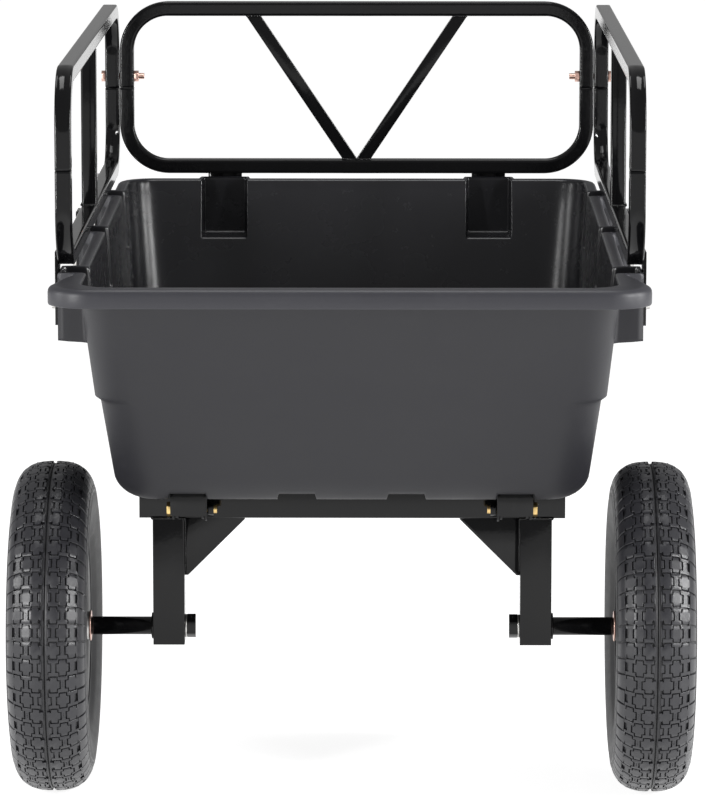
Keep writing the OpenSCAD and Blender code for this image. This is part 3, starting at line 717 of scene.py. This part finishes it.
def half_loop_path(half, top, bend):
    """Path of half a rail loop: (across, up, outward across, outward up, share of the bend's dent)."""
    rows = [(-half, s, -1.0, 0.0, 0.0) for s in (0.25, 0.9, 3, 12, 30, top - bend - 8)]
    for i in range(BEND_STEPS + 1):
        turn = math.radians(180 - 90 * i / BEND_STEPS)
        dent = math.sin(math.pi * i / BEND_STEPS) ** 0.6 if 0 < i < BEND_STEPS else 0.0
        rows.append((-half + bend + bend * math.cos(turn), top - bend + bend * math.sin(turn),
                     math.cos(turn), math.sin(turn), dent))
    rows += [(s * (half - bend - 8), top, 0.0, 1.0, 0.0) for s in (-1, -0.5, 0)]
    return rows + [(-p, q, -n, m, d) for p, q, n, m, d in reversed(rows[:-1])]


def bent_tube(name, path, section, place):
    """Tube swept along a path; place turns (across, up, sideways) into a point. Its ends are capped."""
    rings = []
    limit = section[:, 1].max()
    for number, (p, q, n, m, dent) in enumerate(path):
        across, outward = section[:, 0].copy(), section[:, 1].copy()
        hollow = dent * RAIL_DENT * np.clip(1 - (across / (limit * 0.86)) ** 2, 0, 1)
        outward -= np.sign(outward) * hollow * (np.abs(outward) > limit * 0.9)
        if number in (0, len(path) - 1):
            across, outward = across * 0.93, outward * 0.93
        rings.append([place(p + n * v, q + m * v, u) for u, v in zip(across, outward)])
    vertices = [v for ring in rings for v in ring]
    faces = skin_faces(len(rings), len(section)) + end_caps(len(rings), len(section))
    piece = new_object(name, vertices, faces)
    outward_normals(piece)
    smooth(piece, 50)
    return piece


def make_rails(coat):
    """Upper and lower halves of the three loops."""
    for loop in ("front", "left", "right"):
        for half_name, way in (("upper", 1), ("lower", -1)):
            node = f"{loop}_rail_{half_name}"
            low, high = node_box(node)
            middle = (low + high) / 2
            seam = low[2] if way > 0 else high[2]
            along = 0 if loop == "front" else 1
            side = (high - low)[1 - along]
            half = (high - low)[along] / 2 - side / 2
            path = half_loop_path(half, (high - low)[2] - side / 2, RAIL_BEND)

            def place(p, q, u):
                point = middle.copy()
                point[along] += p
                point[1 - along] += u
                point[2] = seam + way * q
                return point

            piece = bent_tube(f"{node}_tube", path, rounded_square(side, TUBE_CORNER), place)
            finish_piece(piece, "tub", "black_steel", coat, node)


def refined(node, body, slot, material, long_width=0.0, slack=0.0):
    """A copy of a CAD node with merged faces and rounded edges, which then stands for it.

    A tube's long edges get their own rounding, long_width. Slack thins a bolt that lies across
    the cart, so it runs free in its bore.
    """
    piece = linked(f"{node}_piece", NODES[node].data.copy())
    shape = bmesh.new()
    shape.from_mesh(piece.data)
    bmesh.ops.remove_doubles(shape, verts=shape.verts, dist=2e-5)
    bmesh.ops.dissolve_limit(shape, angle_limit=math.radians(0.8), verts=shape.verts, edges=shape.edges)
    if slack:
        low, high = node_box(node)
        centre = Matrix.Translation(-Vector((low + high) / 2 * MM))
        bmesh.ops.scale(shape, vec=(1, 1 - slack, 1 - slack), space=centre, verts=shape.verts)
    weights = shape.edges.layers.float.new("bevel_weight_edge")
    widest = max(EDGE_ROUNDING, long_width)
    for edge in shape.edges:
        if len(edge.link_faces) == 2 and edge.calc_face_angle() > math.radians(32):
            long = long_width and edge.calc_length() > LONG_EDGE * MM and edge.is_convex
            edge[weights] = (long_width if long else EDGE_ROUNDING) / widest
    shape.to_mesh(piece.data)
    shape.free()
    bevel = piece.modifiers.new("round_edges", "BEVEL")
    bevel.limit_method = "WEIGHT"
    bevel.width = widest * MM
    bevel.segments = 2 if not long_width else 3
    bevel.use_clamp_overlap = True
    piece = evaluated_copy(piece, f"{node}_piece")
    smooth(piece, 38)
    finish_piece(piece, body, slot, material, node)


# ---------------------------------------------------------------- geometry node trees

class Growth(Graph):
    """Builds one geometry node tree and turns its result into a plain mesh."""

    def __init__(self, name):
        self.tree = bpy.data.node_groups.new(name, "GeometryNodeTree")
        self.tree.interface.new_socket("Geometry", in_out="OUTPUT", socket_type="NodeSocketGeometry")
        self.keys = {}
        self.values = {}

    def inputs(self, **named):
        """Named inputs: (socket type, value). They come back in the same order."""
        for name, (kind, value) in named.items():
            socket = self.tree.interface.new_socket(name, in_out="INPUT", socket_type=f"NodeSocket{kind}")
            self.keys[name] = socket.identifier
            self.values[name] = value
        gate = self.tree.nodes.new("NodeGroupInput")
        return [Sock(self, gate.outputs[name]) for name in named]

    def join(self, parts):
        made = self.tree.nodes.new("GeometryNodeJoinGeometry")
        for part in parts:
            self.tree.links.new(part.socket, made.inputs[0])
        return Sock(self, made.outputs[0])

    def finish(self, piece, geometry, material, name):
        """Realizes, paints, and applies the tree to a piece, which is replaced by the plain mesh."""
        real = self.node("GeometryNodeRealizeInstances", {}, {0: geometry})
        painted = self.node("GeometryNodeSetMaterial", {}, {"Geometry": real, "Material": material})
        result = self.tree.nodes.new("NodeGroupOutput")
        self.tree.links.new(painted.socket, result.inputs[0])
        modifier = piece.modifiers.new(name, "NODES")
        modifier.node_group = self.tree
        for key, value in self.values.items():
            if value is not None:
                modifier[self.keys[key]] = value
        return evaluated_copy(piece, name)


def weld_bead(name, points, width, material):
    """Ripples of a weld along a line of points: overlapping flattened drops."""
    line = bpy.data.meshes.new(name)
    edges = [(i, i + 1) for i in range(len(points) - 1)]
    line.from_pydata((np.array(points, float) * MM).tolist(), edges, [])
    piece = linked(name, line)
    g = Growth(name)
    geometry, step, radius = g.inputs(Line=("Geometry", None), Ripple_Step=("Float", width * 0.42 * MM),
                                      Bead_Radius=("Float", width * 0.5 * MM))
    curve = g.node("GeometryNodeMeshToCurve", {}, {"Mesh": geometry})
    spaced = g.node("GeometryNodeResampleCurve", {"mode": "LENGTH"}, {"Curve": curve, "Length": step})
    drop = g.node("GeometryNodeMeshIcoSphere", {}, {"Radius": radius, "Subdivisions": 2})
    jitter = g.node("FunctionNodeRandomValue", {"data_type": "FLOAT"}, {2: 0.82, 3: 1.12, "Seed": 7}, out=1)
    placed = g.node("GeometryNodeInstanceOnPoints", {}, {"Points": spaced, "Instance": drop, "Scale": jitter})
    made = g.finish(piece, placed, material, name)
    smooth(made)
    return made


# ---------------------------------------------------------------- tyres

class TyreShape:
    """A block-tread tyre: a turned carcass, and a tread pattern bent round its crown."""

    PITCHES = 30  # repeats of the pattern round the tyre
    COLUMN = 10.8  # from one column of crosses to the next
    GROOVE = 1.5
    DEPTH = 2.4
    CROSS = (7.0, 3.5, 9.3, 4.5)  # half width of its arms and stem, half height of its stem and arms
    HALF_SIPE = 0.9
    PIP = (0.7, 0.5)
    PIP_STEPS = (-2.4, 0, 2.4)
    POWER = 8 / 3  # of the superellipse that the crown follows
    SHOULDER = 150
    STEPS = 120
    WALL_DEGREES = 17  # where the sidewall ends and the tread begins
    NUBS = 14
    NUB_RADIUS = 158

    def __init__(self, side):
        self.side = side
        low, high = node_box(f"{side}_tyre")
        self.middle = (low + high) / 2
        self.half = (high[0] - low[0]) / 2
        self.radius = (high[2] - low[2]) / 2
        self.crown = self.radius - self.SHOULDER
        self.pitch = 2 * math.pi * self.radius / self.PITCHES

    def profile(self):
        """Turned section from one bead to the other: (across, radius), right half mirrored."""
        bead = [(27, 101.6), (29.5, 101.9), (31.2, 103.6), (32.6, 107), (33.6, 111), (35.6, 113.2),
                (37.0, 113.6), (37.3, 115.4), (36.9, 117.5), (38.0, 121.0)]
        wall = []
        for degrees in np.linspace(0, 90, 46):
            a = math.radians(degrees)
            depth = self.DEPTH * float(ease((degrees - self.WALL_DEGREES) / 7))
            rib = 0.7 * math.exp(-((degrees - 5.5) / 1.1) ** 2)
            rib += 0.5 * math.exp(-((degrees - 14.5) / 1.0) ** 2)
            inset = 0.75 - rib if degrees < self.WALL_DEGREES else depth
            if degrees < 89:
                wall.append(((self.half - inset) * math.cos(a) ** 0.75,
                             self.SHOULDER + (self.crown - inset) * math.sin(a) ** 0.75))
        base = self.radius - self.DEPTH
        wall += [(1.1, base), (0.65, base - 0.3), (0.55, base - 1.9), (0, base - 2.0)]
        start = wall[0]
        lower = [(lerp(bead[-1][0], start[0], t ** 0.62), lerp(bead[-1][1], start[1], t))
                 for t in (0.2, 0.4, 0.6, 0.8)]
        return bead + lower + wall

    def carcass(self):
        right = self.profile()
        inner = [(27, 106.5), (31, 121), (40, 150)] + [
            ((self.half - 5) * math.cos(a) ** 0.8, self.SHOULDER + (self.crown - 10) * math.sin(a) ** 0.8)
            for a in np.radians([15, 35, 55, 75, 90])]
        ring = right + [(-x, r) for x, r in reversed(right[:-1])]
        ring += [(-x, r) for x, r in inner] + list(reversed(inner[:-1]))
        vertices = []
        for k in range(self.STEPS):
            turn = 2 * math.pi * k / self.STEPS
            vertices += [self.middle + (x, r * math.cos(turn), r * math.sin(turn)) for x, r in ring]
        faces = skin_faces(self.STEPS, len(ring), wrap=True)
        piece = new_object(f"{self.side}_tyre_carcass", vertices, faces)
        outward_normals(piece)
        # Painted shade: the tread attribute is 0 in the centre groove, 0.2 on the sidewalls and 0.7 on the crown;
        # the rubber turns it into darker and lighter colour.
        tread = np.zeros(len(ring), np.float32)
        for i, (x, r) in enumerate(ring[:2 * len(right) - 1]):
            groove = abs(x) < 0.6 and r > self.SHOULDER
            tread[i] = 0.0 if groove else 0.2 if r < self.SHOULDER + self.crown * 0.42 else 0.7
        point_attribute(piece, "tread", np.tile(tread, self.STEPS))
        return piece

    def block(self, outline, shape, drop=0.0):
        """Adds one raised block to a bmesh: an outline in the flat pattern, with a rounded top edge."""
        outline = np.array(outline, float)
        middle = outline.mean(0)

        def shrunk(amount):
            reach = np.abs(outline - middle).max(0)
            return middle + (outline - middle) * (1 - amount / reach)

        levels = [(-self.DEPTH - 1.0, shrunk(-0.1)), (-0.45 - drop, shrunk(0.0)),
                  (-0.12 - drop, shrunk(0.14)), (-drop, shrunk(0.45))]
        rings = [[shape.verts.new((x, y, z)) for x, y in points] for z, points in levels]
        for lower, upper in zip(rings, rings[1:]):
            for i in range(len(outline)):
                j = (i + 1) % len(outline)
                shape.faces.new((lower[i], lower[j], upper[j], upper[i]))
        shape.faces.new(rings[-1])

    def pattern(self):
        """One pitch of the flat tread: across, along and height, in millimetres."""
        shape = bmesh.new()
        gap = self.GROOVE
        pitch, column = self.pitch, self.COLUMN
        wide, narrow, tall, short = self.CROSS

        def around(corners):
            """A four-way symmetric outline from the corners of its first quarter."""
            upper = corners + [(-x, y) for x, y in reversed(corners)]
            return upper + [(-x, -y) for x, y in upper]

        cross = around([(wide, short), (narrow + 0.5, short + 0.5), (narrow, tall)])
        waist = around([(column - wide - gap, short + gap), (column - narrow - gap, short + gap),
                        (column - narrow - gap, tall + gap), (narrow + gap, tall + gap),
                        (narrow + gap, pitch / 2 - tall - gap)])
        pip = around([self.PIP])
        for number in range(-3, 4):
            shift = (0.25 + 0.5 * (number % 2)) % 1.0
            for outline, start in ((cross, shift), (waist, (shift + 0.5) % 1.0)):
                points = [(x + number * column, y + start * pitch) for x, y in outline]
                if number:
                    self.block(points, shape)
                    continue
                self.block([(max(x, self.HALF_SIPE), y) for x, y in points if x > 0], shape)
                self.block([(min(x, -self.HALF_SIPE), y) for x, y in points if x < 0], shape)
            if abs(number) == 2:
                for step in self.PIP_STEPS:
                    spot = ((shift + 0.5) % 1.0) * pitch + step
                    self.block([(x + number * column, y + spot) for x, y in pip], shape, -0.4)
        for side in (-1, 1):
            for number in (0, 1):
                self.lug(shape, side, (number + 0.5) * pitch / 2, 38.6 - 1.6 * number)
        bmesh.ops.recalc_face_normals(shape, faces=shape.faces)
        bmesh.ops.scale(shape, vec=(MM, MM, MM), verts=shape.verts)
        return mesh_of("tread_pattern", shape)

    def lug(self, shape, side, y, start):
        """Shoulder lug that curves onto the sidewall, as a strip of cells."""
        reach = [start, (start + 41.5) / 2, 41.5, 43.0, 44.5, 45.8, 46.8, 47.5, 47.95]
        half = self.pitch / 4 - self.GROOVE / 3
        rows = []
        for i, x in enumerate(reach):
            t = max(0, (x - 36) / 12)
            bow = 3.2 * t * t
            sink = -0.15 - 1.8 * max(0, t - 0.7)
            taper = 1 - 0.12 * t
            edge = -self.DEPTH - 1.0
            row = [(-half, edge), (-half, sink - 0.5), (-half + 0.55, sink), (0, sink), (half - 0.55, sink),
                   (half, sink - 0.5), (half, edge)]
            rows.append([shape.verts.new((side * x, y + bow + a * taper, z)) for a, z in row])
        for lower, upper in zip(rows, rows[1:]):
            for i in range(len(lower) - 1):
                shape.faces.new((lower[i], lower[i + 1], upper[i + 1], upper[i]))
            shape.faces.new((lower[-1], lower[0], upper[0], upper[-1]))
        shape.faces.new(rows[0])
        shape.faces.new(rows[-1])

    def tread(self, material):
        """Repeats the pattern along a line and bends it round the crown."""
        piece = linked("tread_pattern", self.pattern())
        g = Growth("tread_blocks")
        pattern, pitches, pitch, half, crown, shoulder, middle = g.inputs(
            Pattern=("Geometry", None), Pitches=("Int", self.PITCHES), Pitch=("Float", self.pitch * MM),
            Half_Width=("Float", self.half * MM), Crown_Height=("Float", self.crown * MM),
            Shoulder_Radius=("Float", self.SHOULDER * MM),
            Wheel_Middle=("Vector", (self.middle * MM).tolist()))
        step = g.node("ShaderNodeCombineXYZ", {}, {"Y": pitch})
        line = g.node("GeometryNodeMeshLine", {"mode": "OFFSET"}, {"Count": pitches, "Offset": step})
        rows = g.node("GeometryNodeInstanceOnPoints", {}, {"Points": line, "Instance": pattern})
        flat = g.node("GeometryNodeRealizeInstances", {}, {0: rows})
        place = g.node("GeometryNodeInputPosition")
        x, y, z = (g.axis(letter, place) for letter in "XYZ")
        bulge = (1 - (x.absolute() / half).least(0.9999) ** self.POWER) ** (1 / self.POWER)
        radius = shoulder + (crown + z) * bulge
        turn = y / (shoulder + crown)
        cosine = g.node("ShaderNodeMath", {"operation": "COSINE"}, {0: turn})
        sine = g.node("ShaderNodeMath", {"operation": "SINE"}, {0: turn})
        wheel = g.node("ShaderNodeCombineXYZ", {}, {
            "X": x * (half + z) / half, "Y": radius * cosine, "Z": radius * sine})
        moved = g.node("ShaderNodeVectorMath", {"operation": "ADD"}, {0: wheel, 1: middle})
        # Painted light and shade: the tread attribute rises from the groove floor to the block tops, which the
        # rubber paints lighter.
        top = g.node("GeometryNodeStoreNamedAttribute", {"data_type": "FLOAT", "domain": "POINT"}, {
            "Geometry": flat, "Name": "tread", "Value": g.ramp(z, -0.0025, -0.0003)})
        bent = g.node("GeometryNodeSetPosition", {}, {"Geometry": top, "Position": moved})
        return g.finish(piece, bent, material, f"{self.side}_tyre_tread")

    def nubs(self, material):
        """Small moulding nubs on both sidewalls."""
        shape = bmesh.new()
        bmesh.ops.create_cone(shape, cap_ends=True, segments=10, radius1=0.9 * MM, radius2=0.6 * MM,
                              depth=2.6 * MM)
        piece = linked("nub", mesh_of("nub", shape))
        g = Growth("vent_nubs")
        nub, count, radius, middle, reach = g.inputs(
            Nub=("Geometry", None), Count=("Int", self.NUBS), Ring_Radius=("Float", self.NUB_RADIUS * MM),
            Wheel_Middle=("Vector", (self.middle * MM).tolist()), Reach=("Float", (self.half - 1.9) * MM))
        circle = g.node("GeometryNodeMeshCircle", {}, {"Vertices": count, "Radius": radius})
        sides = []
        for way in (-1, 1):
            place = g.node("GeometryNodeInputPosition")
            around = g.node("ShaderNodeCombineXYZ", {}, {
                "X": reach * way, "Y": g.axis("X", place), "Z": g.axis("Y", place)})
            moved = g.node("ShaderNodeVectorMath", {"operation": "ADD"}, {0: around, 1: middle})
            ring = g.node("GeometryNodeSetPosition", {}, {"Geometry": circle, "Position": moved})
            sides.append(g.node("GeometryNodeInstanceOnPoints", {}, {
                "Points": ring, "Instance": nub, "Rotation": (0, math.radians(90 * way), 0)}))
        return g.finish(piece, g.join(sides), material, f"{self.side}_tyre_nubs")


def make_tyres(rubber):
    for side in ("left", "right"):
        tyre = TyreShape(side)
        body = f"{side}_wheel"
        finish_piece(tyre.carcass(), body, "tyre_rubber", rubber, f"{side}_tyre")
        smooth(finish_piece(tyre.tread(rubber), body, "tyre_rubber", rubber), 34)
        smooth(finish_piece(tyre.nubs(rubber), body, "tyre_rubber", rubber))


# ---------------------------------------------------------------- latch spring

def make_spring(steel):
    """Close-wound return spring with a hook loop at each end, between latch and frame."""
    low, high = node_box("latch_spring")
    middle = (low + high) / 2
    wire, turns, per_turn = 1.0, 26, 14
    radius = (high[2] - low[2]) / 2 - wire
    start, stop = low[1] + 2 * radius + 2, high[1] - 2 * radius - 2
    hooks = []
    for end, way in ((low[1] + radius + wire, -1), (high[1] - radius - wire, 1)):
        hooks.append([(0.0, end + way * -radius * math.cos(a), radius * math.sin(a))
                      for a in np.radians(np.arange(10, 350, 12))])
    coil = []
    for i in range(turns * per_turn + 1):
        turn = 2 * math.pi * i / per_turn
        along = lerp(start, stop, i / (turns * per_turn))
        coil.append((radius * math.sin(turn), along, radius * math.cos(turn)))
    route = hooks[0][::-1] + coil + hooks[1]
    points = np.array(route) + np.array([middle[0], 0, middle[2]])
    spring = wire_along("latch_spring_coil", points, wire)
    spring.data.materials.append(steel)
    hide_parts("latch_spring")
    stop * MM
    start * MM
    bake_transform(spring)


def wire_along(name, points, radius, sides=8):
    """Round wire through points, with frames carried along so that it doesn't twist."""
    points = np.asarray(points, float)
    ahead = np.gradient(points, axis=0)
    ahead /= np.linalg.norm(ahead, axis=1)[:, None]
    side = np.cross(ahead[0], (0.0, 0.3, 1.0))
    vertices = []
    turns = np.linspace(0, 2 * math.pi, sides, endpoint=False)
    for point, way in zip(points, ahead):
        side -= way * side.dot(way)
        side /= np.linalg.norm(side)
        up = np.cross(way, side)
        vertices += [point + radius * (math.cos(t) * side + math.sin(t) * up) for t in turns]
    piece = new_object(name, vertices, skin_faces(len(points), sides) + end_caps(len(points), sides))
    outward_normals(piece)
    return piece


# ---------------------------------------------------------------- all other pieces

SQUARE_TUBES = ("cross_tube", "left_post", "right_post", "tongue", "front_bolster", "rail_mid_bars",
                "front_rail_braces")
HINGE_SLACK = 0.02
GUSSET_BEAD = 66


def make_steelwork(finishes):
    """Rounds the edges of every CAD node that nothing else stands for, and paints it."""
    slots = {row["node"]: row["material_slot"] for row in frame["record"]["subparts"]}
    bodies = frame["record"]["behaviour"]["bodies"]
    body_of = {node: body for body, members in bodies.items() for node in members}
    for node, cad in NODES.items():
        if cad.hide_render:
            continue
        slot = slots[node]
        long_width = TUBE_CORNER if node in SQUARE_TUBES else 0.0
        slack = HINGE_SLACK if node == "hinge_bolts" else 0.0
        refined(node, body_of[node], slot, finishes[slot], long_width, slack)


def make_welds(coat):
    """Beads where tubes, gussets and braces meet: each has a body, a width and a line."""
    beads = []
    post_low, post_high = node_box("left_post")
    cross_low, cross_high = node_box("cross_tube")
    near = cross_low[1] - 0.2
    face = node_box("gussets")[0][1] - 0.3
    z = post_high[2]
    for way in (-1, 1):
        inner, outer = -way * post_high[0], -way * post_low[0]
        foot, reach = inner - way * 0.3, inner - way * GUSSET_BEAD
        beads.append(("frame", 4.5, [(inner, near, z), (outer, near, z)]))
        beads.append(("frame", 4.5, [(outer, near + 2, z), (outer, cross_high[1], z)]))
        beads.append(("frame", 4.0, [(foot, face, z - GUSSET_BEAD), (foot, face, z - 4)]))
        beads.append(("frame", 4.0, [(inner - way * 3, face, z - 0.3), (reach, face, z - 0.3)]))
    bar_low, bar_high = node_box("rail_mid_bars")
    for side in ("left", "right"):
        low, high = node_box(f"{side}_rail_upper")
        x = low[0] if side == "left" else high[0]
        tube = high[0] - low[0]
        rear = bar_low[1] - 0.2
        for z in (node_box(f"{side}_rail_lower")[0][2] + tube, high[2] - tube):
            beads.append(("tub", 3.2, [(x, bar_low[1], z), (x, bar_high[1], z)]))
            beads.append(("tub", 3.2, [(low[0] + 2, rear, z), (high[0] - 2, rear, z)]))
    low, high = node_box("front_rail_braces")
    for z, reach in ((low[2], 18.5), (high[2], None)):
        for way in (-1, 1):
            ends = (0.5, reach) if reach else (high[0] - 17.5, high[0] - 1)
            beads.append(("tub", 3.0, [(way * ends[0], low[1] - 0.1, z), (way * ends[1], low[1] - 0.1, z)]))
    for number, (body, width, points) in enumerate(beads):
        bead = weld_bead(f"weld_bead_{number + 1}", points, width, coat)
        finish_piece(bead, body, "black_steel", coat)


# ---------------------------------------------------------------- surroundings

def make_floor():
    """Plain pale floor far larger than the object."""
    size = 30.0
    mesh = bpy.data.meshes.new("floor")
    corners = [(-size, -size, 0), (size, -size, 0), (size, size, 0), (-size, size, 0)]
    mesh.from_pydata(corners, [], [(0, 1, 2, 3)])
    floor = linked("floor", mesh)
    m = Finish("pale_floor")
    m.set(Base_Color=(0.45, 0.45, 0.45, 1), Roughness=0.9, Specular_IOR_Level=0.1)
    m.set(Emission_Color=(1, 1, 1, 1), Emission_Strength=0.87)
    mesh.materials.append(m.material)


def area_light(name, place, aim, size, power):
    data = bpy.data.lights.new(name, "AREA")
    data.shape = "RECTANGLE"
    data.size, data.size_y = size
    data.energy = power
    light = linked(name, data)
    light.location = place
    light.rotation_euler = (Vector(aim) - Vector(place)).to_track_quat("-Z", "Y").to_euler()


def make_lights():
    world = bpy.data.worlds.new("studio")
    bpy.context.scene.world = world
    world.use_nodes = True
    sky = world.node_tree.nodes["Background"].inputs
    sky["Color"].default_value = (1, 1, 1, 1)
    sky["Strength"].default_value = 0.32
    area_light("left_softbox", (-2.0, -2.6, 1.0), (0, -0.4, 0.4), (0.16, 1.2), 54)
    area_light("right_softbox", (2.2, -2.1, 1.3), (0, -0.3, 0.4), (0.16, 1.3), 62)
    area_light("left_edge_strip", (-2.7, -0.9, 1.1), (0, -0.3, 0.5), (0.14, 1.4), 26)
    area_light("right_edge_strip", (2.6, -0.9, 1.1), (0, -0.3, 0.5), (0.14, 1.4), 46)
    area_light("top_softbox", (0, -0.4, 2.9), (0, -0.3, 0.4), (1.2, 1.2), 24)


bpy.context.scene.view_settings.view_transform = "Standard"
make_camera()
FINISHES = {
    "tub_plastic": tub_plastic(),
    "black_steel": powder_coat(),
    "rim_paint": rim_paint(),
    "zinc_steel": plated("bright_zinc", (0.60, 0.59, 0.57), (0.48, 0.47, 0.46)),
    "yellow_zinc": plated("yellow_zinc", (0.78, 0.58, 0.24), (0.66, 0.45, 0.20)),
    "copper_zinc": plated("rosy_zinc", (0.72, 0.48, 0.40), (0.62, 0.40, 0.34)),
    "tyre_rubber": tyre_rubber(),
    "valve_rubber": black_rubber(),
}
finish_piece(TubShape().build(), "tub", "tub_plastic", FINISHES["tub_plastic"], "tub")
make_rails(FINISHES["black_steel"])
make_tyres(FINISHES["tyre_rubber"])
make_spring(FINISHES["zinc_steel"])
make_steelwork(FINISHES)
make_welds(FINISHES["black_steel"])
make_floor()
make_lights()
